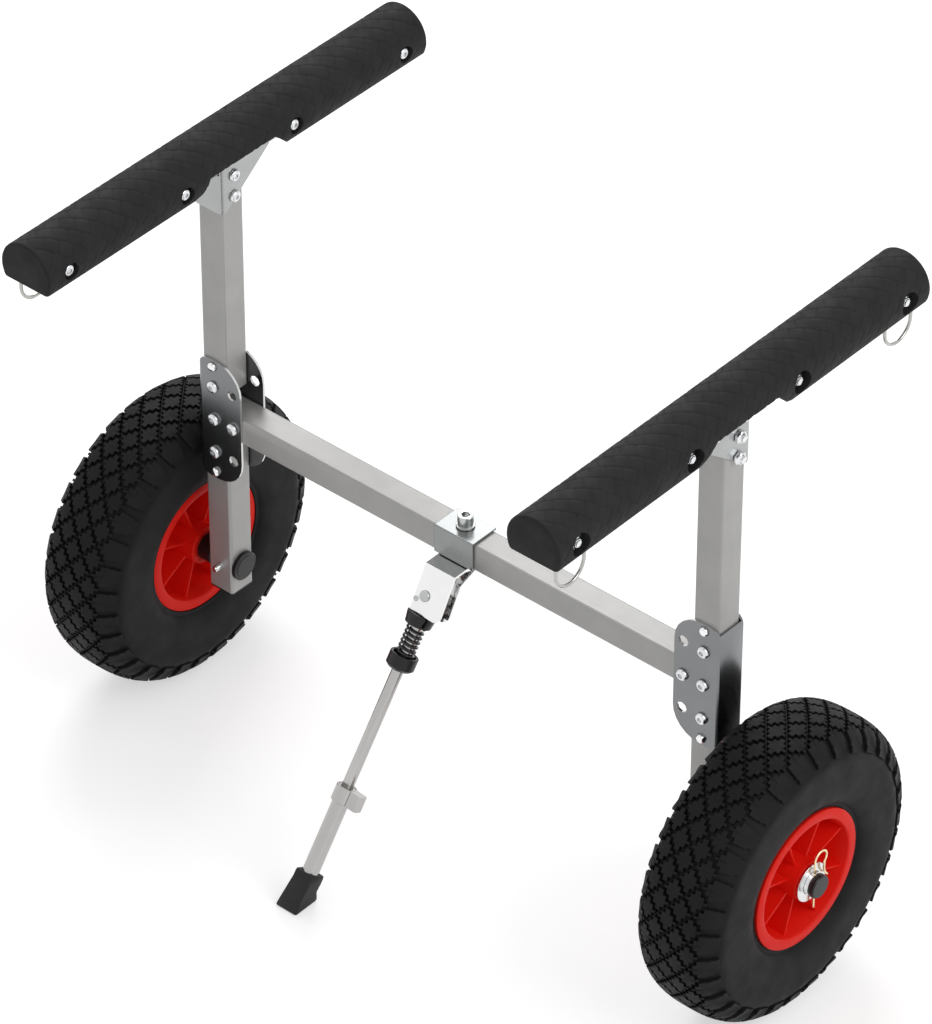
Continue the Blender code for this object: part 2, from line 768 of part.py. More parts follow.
def make_axle(side, lower, lower_at, front):
    axle_place = Matrix.Translation((0, 0, AXLE_Z)) @ Matrix.Rotation(-math.pi / 2, 4, "Y")
    profile = [
        (0, AXLE_OUT),
        (8.5 * MM, AXLE_OUT),
        (AXLE_R, AXLE_OUT - 1.5 * MM),
        (AXLE_R, -HALF - GAP),
        (10.5 * MM, -HALF - GAP),
        (10.5 * MM, -AXLE_IN + 1.5 * MM),
        (9 * MM, -AXLE_IN),
        (0, -AXLE_IN),
    ]
    axle = turned(side + "_axle", profile, CHROME, 20, axle_place)
    drill(axle, [((-CLIP_OUT, 0, AXLE_Z), "Z", CLIP_WIRE_R + GAP, 2 * TUBE)])
    hang(axle, lower, lower_at)

    bore = AXLE_R + GAP
    ring = [(bore, HALF + GAP), (SPACER_R, HALF + GAP), (SPACER_R, SPACER_END), (bore, SPACER_END)]
    spacer = turned(side + "_axle_spacer", ring[::-1], BLACK, 16, axle_place, closed=True)
    hang(spacer, lower, lower_at)

    low = HUB_OUT + GAP
    ring = [(bore, low), (17 * MM, low), (17 * MM, WASHER_OUT), (bore, WASHER_OUT)]
    washer = turned(side + "_hub_washer", ring[::-1], ZINC, 16, axle_place, closed=True)
    hang(washer, lower, lower_at)

    return wire(side + "_r_clip", clip_points(front), CLIP_WIRE_R, BRASS, 1)


def clip_points(front):
    """The spring clip: a straight leg down through the axle, a loop, and a leg outside the axle."""
    points = [(0, -23.6 * MM), (0, 0), (0, 15 * MM)]
    points += arc((CLIP_LOOP_R, CLIP_LOOP_Z), CLIP_LOOP_R, 180, -50, 12)
    points += [(11.8 * MM, 11 * MM), (13 * MM, 4 * MM), (15.5 * MM, 0)]
    return [(-CLIP_OUT, front * -y, AXLE_Z + z) for y, z in points]


def make_side(side):
    right = side == RIGHT
    front = 1 if right else -1
    turn = (0, 0, math.pi) if right else (0, 0, 0)
    root = empty(side + "_side", None, (POST_X if right else -POST_X, 0, 0), turn)
    upper_at = Vector((0, 0, UPPER_PIVOT_Z))
    lower_at = Vector((0, 0, LOWER_PIVOT_Z))
    spin_at = Vector((-WHEEL_OUT, 0, AXLE_Z))
    upper = empty(side + "_upper_fold", root, upper_at)
    lower = empty(side + "_lower_fold", root, lower_at)
    spin = empty(side + "_wheel_spin", lower, spin_at - lower_at)

    make_corner_bracket(side, root, front)
    make_posts(side, lower, upper, lower_at, upper_at, front)
    grip = 2 * (BRACKET_FLANGE + SHEET + GAP)
    for name, u, z in (
        ("upper_pivot_bolt", 0, PIVOT_DROP),
        ("outer_beam_bolt", 0, 0),
        ("inner_beam_bolt", INNER_BOLT_U, 0),
        ("lower_pivot_bolt", 0, -PIVOT_DROP),
    ):
        made = bolt(f"{side}_{name}", (u, 0, BEAM_Z + z), "Y", grip, front)
        hang(made, root)
    for word, pivot, at, way in (("upper", upper, upper_at, 1), ("lower", lower, lower_at, -1)):
        height = BEAM_Z + way * (PIVOT_DROP + BUTTON_RISE)
        make_snap_clip(side, f"{side}_{word}_snap_clip", pivot, at, height, front)

    make_pad_bracket(side, upper, upper_at)
    grip = 2 * (HALF + SHEET + 2 * GAP)
    for word, drop in zip(("high", "low"), PAD_BRACKET_BOLT_DROPS):
        made = bolt(f"{side}_{word}_bracket_bolt", (0, 0, PAD_Z - drop), "X", grip, 1)
        hang(made, upper, upper_at)
    make_rail(side, upper, upper_at)
    make_pad(side, upper, upper_at)
    for word, way in (("near", front), ("far", -front)):
        y = way * PAD_BOLT_Y[1]
        centre = (PAD_BOLT_SHIFT, y, RAIL_Z)
        made = bolt(f"{side}_{word}_pad_bolt", centre, "X", PAD_BOLT_GRIP, 1)
        hang(made, upper, upper_at)
        at = Vector((-RING_OUT, y, RAIL_Z))
        pivot = empty(f"{side}_{word}_ring_swing", upper, at - upper_at)
        make_ring(side, word, way, pivot, at)

    make_wheel(side, spin, spin_at)
    clip = make_axle(side, lower, lower_at, front)
    clip_at = Vector((-CLIP_OUT, 0, AXLE_Z))
    clip_pull = empty(side + "_clip_pull", lower, clip_at - lower_at)
    hang(clip, clip_pull, clip_at)


def make_clamp():
    """The saddle on the beam, with its front flange, and the screw that draws the fork up to it."""
    half_x = 20 * MM
    top = HALF + GAP + SHEET
    section = [
        (14 * MM, top),
        (14 * MM, top - SHEET),
        (-HALF - GAP, top - SHEET),
        (-HALF - GAP, -11.8 * MM),
        (-HALF - GAP - SHEET, -11.8 * MM),
        (-HALF - GAP - SHEET, top - MM),
        (-HALF - GAP - MM, top),
    ]
    upright = Matrix.Translation((CLAMP_X, 0, BEAM_Z)) @ Matrix.Rotation(math.pi / 2, 4, "Z")
    upright = upright @ Matrix.Rotation(math.pi / 2, 4, "X")
    clamp = outline("stand_clamp", [section], 2 * half_x, ZINC, upright)
    drill(clamp, [((CLAMP_X, 0, BEAM_Z + HALF), "Z", HOLE_R, TUBE)])

    head = top + GAP
    profile = [
        (0, head + 3.5 * MM),
        (2.6 * MM, head + 3.5 * MM),
        (2.6 * MM, head + 8.5 * MM),
        (4.6 * MM, head + 8.5 * MM),
        (5 * MM, head + 8 * MM),
        (5 * MM, head + 1.6 * MM),
        (6.2 * MM, head + 1.6 * MM),
        (6.2 * MM, head),
        (BOLT_R, head),
        (BOLT_R, -24 * MM),
        (0, -24 * MM),
    ]
    place = Matrix.Translation((CLAMP_X, 0, BEAM_Z))
    screw = turned("stand_clamp_screw", profile, CHROME, 16, place)
    return clamp, screw


def leaning(front, down):
    """(y, z) from the beam's axis of a point so far in front of it and down along the leg."""
    y = -front * math.cos(STAND_LEAN) - down * math.sin(STAND_LEAN)
    z = front * math.sin(STAND_LEAN) - down * math.cos(STAND_LEAN)
    return y, z


def make_fork():
    """Two bent plates, under the beam and down each side of the leg's top, in one body."""
    front_out = FORK_MID_N + FORK_GAP / 2 + SHEET
    rear_out = FORK_MID_N - FORK_GAP / 2 - SHEET
    top = -HALF - GAP
    bottom = 72 * MM
    front_bend = -(front_out - top * math.sin(STAND_LEAN)) / math.cos(STAND_LEAN)
    section = [
        (10 * MM, top),
        (front_bend, top),
        leaning(front_out, bottom),
        leaning(front_out - SHEET, bottom),
        (front_bend + 1.2 * MM, top - SHEET),
        (-17 * MM, top - SHEET),
        (-3 * MM, top - SHEET - 4.2 * MM),
        leaning(rear_out + SHEET, 33 * MM),
        leaning(rear_out + SHEET, bottom),
        leaning(rear_out, bottom),
        leaning(rear_out, 34.2 * MM),
        (0, top - SHEET - 5.5 * MM),
        (10 * MM, top - SHEET - 5.5 * MM),
    ]
    upright = Matrix.Translation((0, 0, BEAM_Z)) @ Matrix.Rotation(math.pi / 2, 4, "Z")
    upright = upright @ Matrix.Rotation(math.pi / 2, 4, "X")
    fork = outline("stand_fork", [section], 2 * FORK_HALF_W, CHROME, upright)

    lower_end = [
        (-FORK_HALF_W - MM, 64.9 * MM),
        (9 * MM, 66.4 * MM),
    ]
    lower_end += arc((9 * MM, 60.4 * MM), 6 * MM, 75, 0, 4)
    lower_end += [(FORK_HALF_W + MM, 58 * MM), (FORK_HALF_W + MM, 90 * MM)]
    lower_end += [(-FORK_HALF_W - MM, 90 * MM)]
    loop = [(x, -s) for x, s in lower_end]
    lean = Matrix.Translation((0, 0, BEAM_Z)) @ Matrix.Rotation(math.pi / 2 - STAND_LEAN, 4, "X")
    cut(fork, outline("stand_fork_end", [loop], 4 * TUBE, CHROME, lean))
    drill(fork, [((CLAMP_X, 0, BEAM_Z - HALF), "Z", HOLE_R, 2 * TUBE)])
    pin_hole = rods("stand_pin_hole", [((0, 0, 0), "Z", PIN_R + GAP / 2, 2 * TUBE, 16)])
    pin_hole.data.transform(lean_at_pin() @ facing("Y"))
    cut(fork, pin_hole)
    return fork


def lean_at_pin():
    place = Matrix.Translation(PIN_FROM_BEAM + Vector((0, 0, BEAM_Z)))
    return place @ Matrix.Rotation(-STAND_LEAN, 4, "X")


def make_stand_pin():
    half = FORK_GAP / 2 + SHEET + GAP
    profile = [
        (0, half + 1.6 * MM),
        (3 * MM, half + 1.4 * MM),
        (4.5 * MM, half),
        (PIN_R, half),
        (PIN_R, -half),
        (4.5 * MM, -half),
        (3 * MM, -half - 1.4 * MM),
        (0, -half - 1.6 * MM),
    ]
    pin = turned("stand_pivot_pin", profile, CHROME, 16)
    pin.data.transform(lean_at_pin() @ facing("Y"))
    return pin


def make_leg(fold, slide, seat_slide):
    """The leg's pieces in its own frame: the pin at the origin and the leg down -Z."""
    rod = turned(
        "stand_rod",
        [(0, 6 * MM), (3 * MM, 5.5 * MM), (ROD_R, 3 * MM), (ROD_R, -ROD_END), (0, -ROD_END)],
        CHROME,
        16,
    )
    cut(rod, rods("stand_rod_hole", [((0, 0, 0), "Y", PIN_R + GAP / 2, 2 * TUBE, 16)]))
    hang(rod, fold)

    low = SEAT_TOP + SEAT_H
    bore = ROD_R + GAP
    seat = turned(
        "stand_spring_seat",
        [
            (bore, -SEAT_TOP),
            (11.5 * MM, -SEAT_TOP),
            (12.5 * MM, -SEAT_TOP - MM),
            (11 * MM, -low),
            (bore, -low),
        ],
        BLACK,
        24,
        closed=True,
    )
    slot_half = SHEET / 2 + GAP
    for sign in (-1, 1):
        y = sign * (FORK_GAP / 2 + SHEET / 2)
        low_corner = (-14 * MM, y - slot_half, -SEAT_TOP - SLOT_DEPTH)
        high_corner = (14 * MM, y + slot_half, 0)
        word = "front" if sign < 0 else "rear"
        cut(seat, block(f"stand_seat_{word}_slot", low_corner, high_corner))
    hang(seat, seat_slide, seat_slide.location)

    spring = wire("stand_spring", spring_points(), SPRING_WIRE_R, BLACK, 1)
    hang(spring, fold)

    top = SPRING_END
    bottom = top + COLLAR_H
    collar = turned(
        "stand_spring_collar",
        [
            (bore, -top - 3 * MM),
            (10 * MM, -top - 3 * MM),
            (10.5 * MM, -top),
            (12 * MM, -top),
            (12 * MM, -bottom + 2.5 * MM),
            (9.5 * MM, -bottom),
            (bore, -bottom),
        ],
        BLACK,
        24,
        closed=True,
    )
    hang(collar, fold)

    bore = ROD_R + GAP
    tube = turned(
        "stand_leg_tube",
        [(bore, -TUBE_TOP), (LEG_TUBE_R, -TUBE_TOP), (LEG_TUBE_R, -TUBE_END), (bore, -TUBE_END)],
        CHROME,
        20,
        closed=True,
    )
    hang(tube, slide, slide.location)

    ring_bore = LEG_TUBE_R + GAP
    ring = turned(
        "stand_leg_clamp",
        [
            (ring_bore, -TUBE_TOP),
            (8.9 * MM, -TUBE_TOP),
            (8.9 * MM, -TUBE_TOP - CLAMP_RING_H),
            (ring_bore, -TUBE_TOP - CLAMP_RING_H),
        ],
        CHROME,
        20,
        closed=True,
    )
    lug = block(
        "stand_leg_clamp_lug",
        (8 * MM, -5 * MM, -TUBE_TOP - CLAMP_RING_H),
        (18.5 * MM, 5 * MM, -TUBE_TOP),
    )
    join(ring, lug)
    hang(ring, slide, slide.location)


def spring_points():
    """The helix between seat and collar, with its ends straight for one wire width, then measured."""
    top = -(SEAT_TOP + SEAT_H + GAP + SPRING_WIRE_R)
    bottom = -(SPRING_END + 3 * MM - GAP - SPRING_WIRE_R)
    per_turn = 10
    count = int(SPRING_TURNS * per_turn)
    points = []
    for i in range(count + 1):
        angle = 2 * math.pi * i / per_turn
        height = top + (bottom - top) * i / count
        points.append((SPRING_R * math.cos(angle), SPRING_R * math.sin(angle), height))
    lead = 2 * SPRING_WIRE_R
    first, second = Vector(points[0]), Vector(points[1])
    last, before = Vector(points[-1]), Vector(points[-2])
    start = first - (second - first).normalized() * lead
    end = last + (last - before).normalized() * lead
    start.z = first.z
    end.z = last.z
    points = [tuple(start)] + points + [tuple(end)]
    report_spring_gap(points, per_turn)
    return points


def report_spring_gap(points, per_turn):
    least = None
    for i, first in enumerate(points):
        for second in points[i + per_turn // 2 :]:
            apart = (Vector(first) - Vector(second)).length - 2 * SPRING_WIRE_R
            least = apart if least is None else min(least, apart)
    print(f"stand_spring: least gap between its turns {least / MM:.2f} mm")


def make_foot(slide):
    """The rubber foot, modelled in the world frame: a loft from the tube down to the floor."""
    place = leg_matrix()
    top_half = 9 * MM
    rings = []
    for s in (FOOT_TOP, FOOT_TOP + 7 * MM):
        ring = []
        for sx, sy in ((-1, -1), (1, -1), (1, 1), (-1, 1)):
            ring.append(place @ Vector((sx * top_half, sy * top_half, -s)))
        rings.append(ring)
    low_x, high_x, low_y, high_y = FOOT_SOLE
    rings.append(
        [
            Vector((low_x + 3 * MM, low_y + 3 * MM, 9 * MM)),
            Vector((high_x, low_y + 3 * MM, 9 * MM)),
            Vector((high_x, high_y, 9 * MM)),
            Vector((low_x + 3 * MM, high_y, 9 * MM)),
        ]
    )
    rings.append(
        [
            Vector((low_x, low_y, 0)),
            Vector((high_x, low_y, 0)),
            Vector((high_x, high_y, 0)),
            Vector((low_x, high_y, 0)),
        ]
    )
    bm = bmesh.new()
    verts = [[bm.verts.new(p) for p in ring] for ring in rings]
    for upper, lower in zip(verts, verts[1:]):
        for i in range(4):
            j = (i + 1) % 4
            bm.faces.new((upper[i], upper[j], lower[j], lower[i]))
    bm.faces.new(verts[0])
    bm.faces.new(verts[-1][::-1])
    bm.transform(place.inverted())
    foot = mesh_object("stand_foot", bm, RUBBER)
    bevel = foot.modifiers.new("edges", "BEVEL")
    bevel.width = 2 * MM
    bevel.segments = 2
    bevel.limit_method = "ANGLE"
    bevel.angle_limit = math.radians(40)
    settled(foot)
    socket = turned(
        "stand_foot_socket",
        [(0, 0), (LEG_TUBE_R + GAP, 0), (LEG_TUBE_R + GAP, -TUBE_END - GAP), (0, -TUBE_END - GAP)],
        BLACK,
        20,
    )
    cut(foot, socket)
    hang(foot, slide, slide.location)
    return foot


def leg_matrix():
    return lean_at_pin() @ Matrix.Rotation(STAND_SWING, 4, "Y")


def make_stand():
    clamp, screw = make_clamp()
    fork = make_fork()
    pin = make_stand_pin()
    fold = empty("stand_fold")
    fold.matrix_world = leg_matrix()
    slide = empty("stand_leg_slide", fold, (0, 0, -TUBE_TOP))
    seat_slide = empty("stand_seat_slide", fold, (0, 0, -SEAT_TOP))
    make_leg(fold, slide, seat_slide)
    make_foot(slide)
    return clamp, screw, fork, pin


make_beam()
for each_side in (LEFT, RIGHT):
    make_side(each_side)
make_stand()
bpy.context.view_layer.update()
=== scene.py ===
"""Looks for the folding paddleboard cart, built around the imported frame.

Metres, +Z up. Each side's pieces are made once in a side frame, whose X points inwards from the
post's centre, and stood at both posts, the right one turned half a turn about Z. The pieces of
the stand's leg are made in its own frame, with the pivot pin at the origin and the leg down -Z.
"""

import json
import math

import bmesh
import bpy
import numpy as np
from mathutils import Matrix, Vector

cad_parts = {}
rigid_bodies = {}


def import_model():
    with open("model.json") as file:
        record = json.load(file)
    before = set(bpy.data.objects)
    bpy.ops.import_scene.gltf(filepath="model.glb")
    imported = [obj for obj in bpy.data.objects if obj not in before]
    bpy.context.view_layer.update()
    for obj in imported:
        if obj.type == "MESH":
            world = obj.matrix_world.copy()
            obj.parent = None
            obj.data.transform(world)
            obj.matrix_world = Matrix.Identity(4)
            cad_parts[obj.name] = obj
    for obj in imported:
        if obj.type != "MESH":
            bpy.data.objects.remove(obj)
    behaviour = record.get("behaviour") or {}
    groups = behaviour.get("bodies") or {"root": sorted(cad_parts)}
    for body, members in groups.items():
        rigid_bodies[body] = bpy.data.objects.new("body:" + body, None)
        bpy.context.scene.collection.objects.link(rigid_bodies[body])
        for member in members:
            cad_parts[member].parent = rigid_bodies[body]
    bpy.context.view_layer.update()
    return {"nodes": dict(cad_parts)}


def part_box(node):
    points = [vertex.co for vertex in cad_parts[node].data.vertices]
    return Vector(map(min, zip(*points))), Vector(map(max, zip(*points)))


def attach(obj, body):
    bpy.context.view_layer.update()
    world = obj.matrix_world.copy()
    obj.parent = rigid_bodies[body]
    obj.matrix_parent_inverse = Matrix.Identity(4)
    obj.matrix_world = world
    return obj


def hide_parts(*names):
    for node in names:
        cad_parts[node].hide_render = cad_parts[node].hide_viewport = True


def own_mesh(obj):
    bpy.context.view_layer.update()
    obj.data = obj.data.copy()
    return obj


for startup_object in list(bpy.data.objects):
    bpy.data.objects.remove(startup_object, do_unlink=True)

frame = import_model()

MM = 0.001
LEFT, RIGHT = "left", "right"
FRONT = {LEFT: -1, RIGHT: 1}  # the way to the cart's front along each side frame's Y

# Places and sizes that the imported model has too
POST_X = 253.5 * MM
BEAM_Z = 283.3 * MM
AXLE_Z = 131 * MM
PIVOT_DROP = 33 * MM
PAD_Z = 528.7 * MM
RAIL_Z = 541.3 * MM
HALF_TUBE = 12.5 * MM
BRACKET_OUT = 14.6 * MM
INNER_BOLT_U = 20 * MM
BUTTON_Z = {"upper": BEAM_Z + 53.2 * MM, "lower": BEAM_Z - 53.2 * MM}
PAD_R = 25.7 * MM
PAD_RISE = 12.6 * MM
PAD_LENGTH = 435 * MM
PAD_BOLT_Y = (62.7 * MM, 192.5 * MM)
BOLT_R = 3 * MM
WHEEL_OUT = 61 * MM
HUB_MIDDLE = 62.45 * MM
TYRE_R = 131 * MM
BEAD_R = 60.6 * MM
CLIP_OUT = 103.2 * MM
STAND_PIN = Vector((-5.3, -35.2, 245.5)) * MM
STAND_LEAN = math.radians(30)
STAND_SWING = math.radians(4.2)


def side_matrix(side):
    """From a side frame to the cart, with Z = 0 on the floor in both."""
    if side == LEFT:
        return Matrix.Translation((-POST_X, 0, 0))
    return Matrix.Translation((POST_X, 0, 0)) @ Matrix.Rotation(math.pi, 4, "Z")


def fork_matrix():
    """At the stand's pivot pin, leaning forward with the fork."""
    return Matrix.Translation(STAND_PIN) @ Matrix.Rotation(-STAND_LEAN, 4, "X")


def leg_matrix():
    """The leg's frame: the fork's, swung a little to one side."""
    return fork_matrix() @ Matrix.Rotation(STAND_SWING, 4, "Y")


# Camera, as fitted to the photograph
camera_data = bpy.data.cameras.new("camera")
camera_data.lens = 228.3
camera_data.sensor_width = 36
camera = bpy.data.objects.new("camera", camera_data)
camera.location = (2.6059, -3.0024, 3.4691)
camera.rotation_euler = (math.radians(51.54), 0, math.radians(40.94))
bpy.context.scene.collection.objects.link(camera)
bpy.context.scene.camera = camera
bpy.context.scene.view_settings.view_transform = "Standard"


# Materials
NOISE_LOW, NOISE_HIGH = 0.3, 0.7  # most of a noise's values lie between these
NOISE_ROUGHNESS = 0.55
GRAIN_DEPTH = 0.0003


class Nodes:
    """A material's node tree, with short calls for the nodes that are used here."""

    def __init__(self, name):
        self.material = bpy.data.materials.new(name)
        self.material.use_nodes = True
        self.tree = self.material.node_tree
        self.shader = self.tree.nodes["Principled BSDF"]

    def add(self, kind, **values):
        """A node, with its inputs and settings given by name."""
        node = self.tree.nodes.new(kind)
        for key, value in values.items():
            if key in node.inputs:
                node.inputs[key].default_value = value
            else:
                setattr(node, key, value)
        return node

    def link(self, source, target):
        self.tree.links.new(source, target)

    def place(self, stretch=(1, 1, 1)):
        """Object coordinates, divided by the stretch along each axis."""
        where = self.add("ShaderNodeTexCoord").outputs["Object"]
        scale = self.add("ShaderNodeVectorMath", operation="DIVIDE")
        self.link(where, scale.inputs[0])
        scale.inputs[1].default_value = stretch
        return scale.outputs[0]

    def noise(self, scale, detail, stretch=(1, 1, 1)):
        node = self.add("ShaderNodeTexNoise", Scale=scale, Detail=detail, Roughness=NOISE_ROUGHNESS)
        self.link(self.place(stretch), node.inputs["Vector"])
        return node.outputs["Fac"]

    def ramp(self, factor, low, high):
        """A colour between two, following a noise."""
        node = self.add("ShaderNodeValToRGB")
        stops = ((NOISE_LOW, low), (NOISE_HIGH, high))
        for element, (at, colour) in zip(node.color_ramp.elements, stops):
            element.position = at
            element.color = (*colour, 1)
        self.link(factor, node.inputs["Fac"])
        return node.outputs["Color"]

    def spread(self, factor, low, high):
        """A number between two, following a noise."""
        node = self.add("ShaderNodeMapRange")
        node.inputs["From Min"].default_value = NOISE_LOW
        node.inputs["From Max"].default_value = NOISE_HIGH
        node.inputs["To Min"].default_value = low
        node.inputs["To Max"].default_value = high
        self.link(factor, node.inputs["Value"])
        return node.outputs["Result"]

    def bump(self, height, strength):
        node = self.add("ShaderNodeBump")
        node.inputs["Strength"].default_value = strength
        node.inputs["Distance"].default_value = GRAIN_DEPTH
        self.link(height, node.inputs["Height"])
        return node.outputs["Normal"]

    def finish(self, colour, roughness, normal=None, metallic=0.0, specular=None):
        """Feeds the shader; the roughness is a number or a node's output."""
        inputs = self.shader.inputs
        inputs["Metallic"].default_value = metallic
        self.link(colour, inputs["Base Color"])
        if isinstance(roughness, float):
            inputs["Roughness"].default_value = roughness
        else:
            self.link(roughness, inputs["Roughness"])
        if normal:
            self.link(normal, inputs["Normal"])
        if specular is not None:
            inputs["Specular IOR Level"].default_value = specular
        return self.material


def tones(colour, share):
    """A colour made darker and lighter by a share."""
    low = tuple(c * (1 - share) for c in colour)
    high = tuple(min(1, c * (1 + share)) for c in colour)
    return low, high


def metal(name, colour, rough, share=0.06, grain=(1, 1, 1), metallic=1.0, bump=0.05):
    """Metal with cloudy tone, uneven polish and a fine grain drawn along one axis."""
    n = Nodes(name)
    tone = n.ramp(n.noise(scale=35, detail=4), *tones(colour, share))
    lines = n.noise(scale=900, detail=2, stretch=grain)
    polish = n.spread(lines, rough * 0.94, rough * 1.07)
    return n.finish(tone, polish, n.bump(lines, bump), metallic)


def moulded(name, colour, rough, share, grain_scale, bump, specular):
    """Foam, plastic or rubber with a fine moulded grain and slight patches of tone."""
    n = Nodes(name)
    tone = n.ramp(n.noise(scale=22, detail=3), *tones(colour, share))
    grain = n.noise(grain_scale, detail=3)
    polish = n.spread(n.noise(scale=60, detail=3), rough * 0.9, rough * 1.12)
    return n.finish(tone, polish, n.bump(grain, bump), specular=specular)


# How far the grain is drawn out along each axis
ALONG_X, ALONG_Y, ALONG_Z = (30, 1, 1), (1, 30, 1), (1, 1, 30)

TUBE_GREY = (0.43, 0.425, 0.415)
TUBE_X = metal("satin_tube_x", TUBE_GREY, 0.42, 0.05, ALONG_X, metallic=0.3)
TUBE_Y = metal("satin_tube_y", TUBE_GREY, 0.42, 0.05, ALONG_Y, metallic=0.3)
TUBE_Z = metal("satin_tube_z", TUBE_GREY, 0.42, 0.05, ALONG_Z, metallic=0.3)
PLATE = metal("dark_steel_plate", (0.21, 0.215, 0.22), 0.22, 0.05, ALONG_Z, bump=0.02)
# The brackets' cut faces: bare metal, made brighter than the plate as a painted highlight along the
# edges.
CUT_EDGE_HIGHLIGHT = metal("cut_edge_painted_highlight", (0.62, 0.62, 0.62), 0.2, 0.04, bump=0.01)
SHEET_GREY = metal("zinc_sheet", (0.4, 0.41, 0.41), 0.28, metallic=0.85, bump=0.02)
CLAMP_GREY = metal("clamp_sheet", (0.27, 0.28, 0.28), 0.26, metallic=0.9, bump=0.02)
WIRE = metal("steel_wire", (0.46, 0.455, 0.44), 0.16, bump=0.02)
ZINC = metal("zinc_fastener", (0.72, 0.73, 0.74), 0.22, 0.08)
SCREW = metal("screw_zinc", (0.5, 0.51, 0.51), 0.2, bump=0.02)
CHROME = metal("polished_steel", (0.86, 0.86, 0.86), 0.1, 0.03, bump=0.01)
SATIN = metal("satin_steel", (0.46, 0.45, 0.44), 0.24, 0.03, ALONG_Z, bump=0.015)
GOLD = metal("gold_wire", (0.86, 0.68, 0.42), 0.22, 0.08)
BLACK_STEEL = metal("black_spring_steel", (0.03, 0.03, 0.032), 0.25, 0.1, metallic=0.5)
FOAM = moulded("black_foam", (0.02, 0.02, 0.02), 0.7, 0.08, 1400, 0.3, 0.2)
TYRE = moulded("tyre_rubber", (0.009, 0.009, 0.0095), 0.6, 0.14, 900, 0.2, 0.15)
RUBBER = moulded("foot_rubber", (0.014, 0.014, 0.014), 0.55, 0.1, 800, 0.2, 0.3)
RED = moulded("red_plastic", (0.88, 0.016, 0.008), 0.4, 0.04, 500, 0.03, 0.1)
BLACK = moulded("black_plastic", (0.008, 0.008, 0.008), 0.34, 0.1, 500, 0.05, 0.35)


# Pieces. A part is a pair of points and faces; a piece is a named object on a body.
def in_mm(*rows):
    """Rows of numbers in millimetres, as metres. A word in a row is kept."""
    return [tuple(item if isinstance(item, str) else item * MM for item in row) for row in rows]


def mesh_from(name, points, faces):
    mesh = bpy.data.meshes.new(name)
    mesh.from_pydata([tuple(p) for p in points], [], [tuple(f) for f in faces])
    mesh.validate()
    return mesh


def face_outwards(mesh):
    bm = bmesh.new()
    bm.from_mesh(mesh)
    bmesh.ops.recalc_face_normals(bm, faces=bm.faces)
    bm.to_mesh(mesh)
    bm.free()


def piece(name, shape, finish, body, place=None, nodes=(), sharp=35):
    """A named object that rides on a body, from a part or a mesh.

    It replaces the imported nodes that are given. Edges over the sharp angle, in degrees, stay sharp.
    """
    mesh = mesh_from(name, *shape) if isinstance(shape, tuple) else shape
    face_outwards(mesh)
    if place is not None:
        mesh.transform(place)
    mesh.shade_smooth()
    mesh.set_sharp_from_angle(angle=math.radians(sharp))
    mesh.materials.clear()
    mesh.materials.append(finish)
    obj = bpy.data.objects.new(name, mesh)
    bpy.context.scene.collection.objects.link(obj)
    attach(obj, body)
    if nodes:
        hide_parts(*nodes)
    return obj


def bands(rings, sides, closed=False):
    """Faces between neighbouring rings of points, also from the last to the first if closed."""
    faces = []
    for i in range(rings if closed else rings - 1):
        j = (i + 1) % rings
        for k in range(sides):
            m = (k + 1) % sides
            faces.append((i * sides + k, i * sides + m, j * sides + m, j * sides + k))
    return faces


def skin(rings, sides, closed=False):
    """The bands over rings of points, with a cap at each end unless they are closed."""
    faces = bands(rings, sides, closed)
    if not closed:
        faces.append(tuple(reversed(range(sides))))
        faces.append(tuple(range((rings - 1) * sides, rings * sides)))
    return faces


def stack(rings, steps=24, closed=False):
    """A part of rings about Z. Each ring is (radius, height), or a hexagon with the word "hex"."""
    points = []
    for radius, height, *hexagon in rings:
        for i in range(steps):
            angle = 2 * math.pi * i / steps
            reach = radius
            if hexagon:
                from_flat = (angle + math.pi / 6) % (math.pi / 3) - math.pi / 6
                reach = radius / math.cos(from_flat)
            points.append((reach * math.cos(angle), reach * math.sin(angle), height))
    return points, skin(len(rings), steps, closed)


def merged(*parts):
    """Several parts as one."""
    points, faces = [], []
    for more_points, more_faces in parts:
        start = len(points)
        points += [tuple(p) for p in more_points]
        faces += [tuple(i + start for i in face) for face in more_faces]
    return points, faces


def moved(part, place):
    """A part with its points moved by a matrix."""
    points, faces = part
    return [tuple(place @ Vector(p)) for p in points], faces


def tube(path, radius, sides=12, closed=False):
    """A round wire along points, without twist, and drawn in at its ends unless it is closed."""
    path = [Vector(p) for p in path]
    count = len(path)
    ahead = []
    for i in range(count):
        before = path[i - 1] if closed or i else path[i]
        after = path[(i + 1) % count] if closed or i < count - 1 else path[i]
        ahead.append((after - before).normalized())
    across = ahead[0].orthogonal().normalized()
    rings = []
    for i in range(count):
        across = (across - ahead[i] * across.dot(ahead[i])).normalized()
        rings.append((path[i], across.copy(), ahead[i].cross(across), radius))
    if not closed:
        first, last = rings[0], rings[-1]
        drawn = 0.6
        lead = [(first[0] - ahead[0] * radius * drawn, first[1], first[2], radius * drawn)]
        trail = [(last[0] + ahead[-1] * radius * drawn, last[1], last[2], radius * drawn)]
        rings = lead + rings + trail
    points = []
    for centre, x, y, r in rings:
        for k in range(sides):
            angle = 2 * math.pi * k / sides
            points.append(tuple(centre + x * r * math.cos(angle) + y * r * math.sin(angle)))
    return points, skin(len(rings), sides, closed)


def box_part(low, high):
    (x0, y0, z0), (x1, y1, z1) = low, high
    corners = [(x, y, z) for x in (x0, x1) for y in (y0, y1) for z in (z0, z1)]
    faces = [(0, 1, 3, 2), (4, 6, 7, 5), (0, 4, 5, 1), (2, 3, 7, 6), (0, 2, 6, 4), (1, 5, 7, 3)]
    return corners, faces


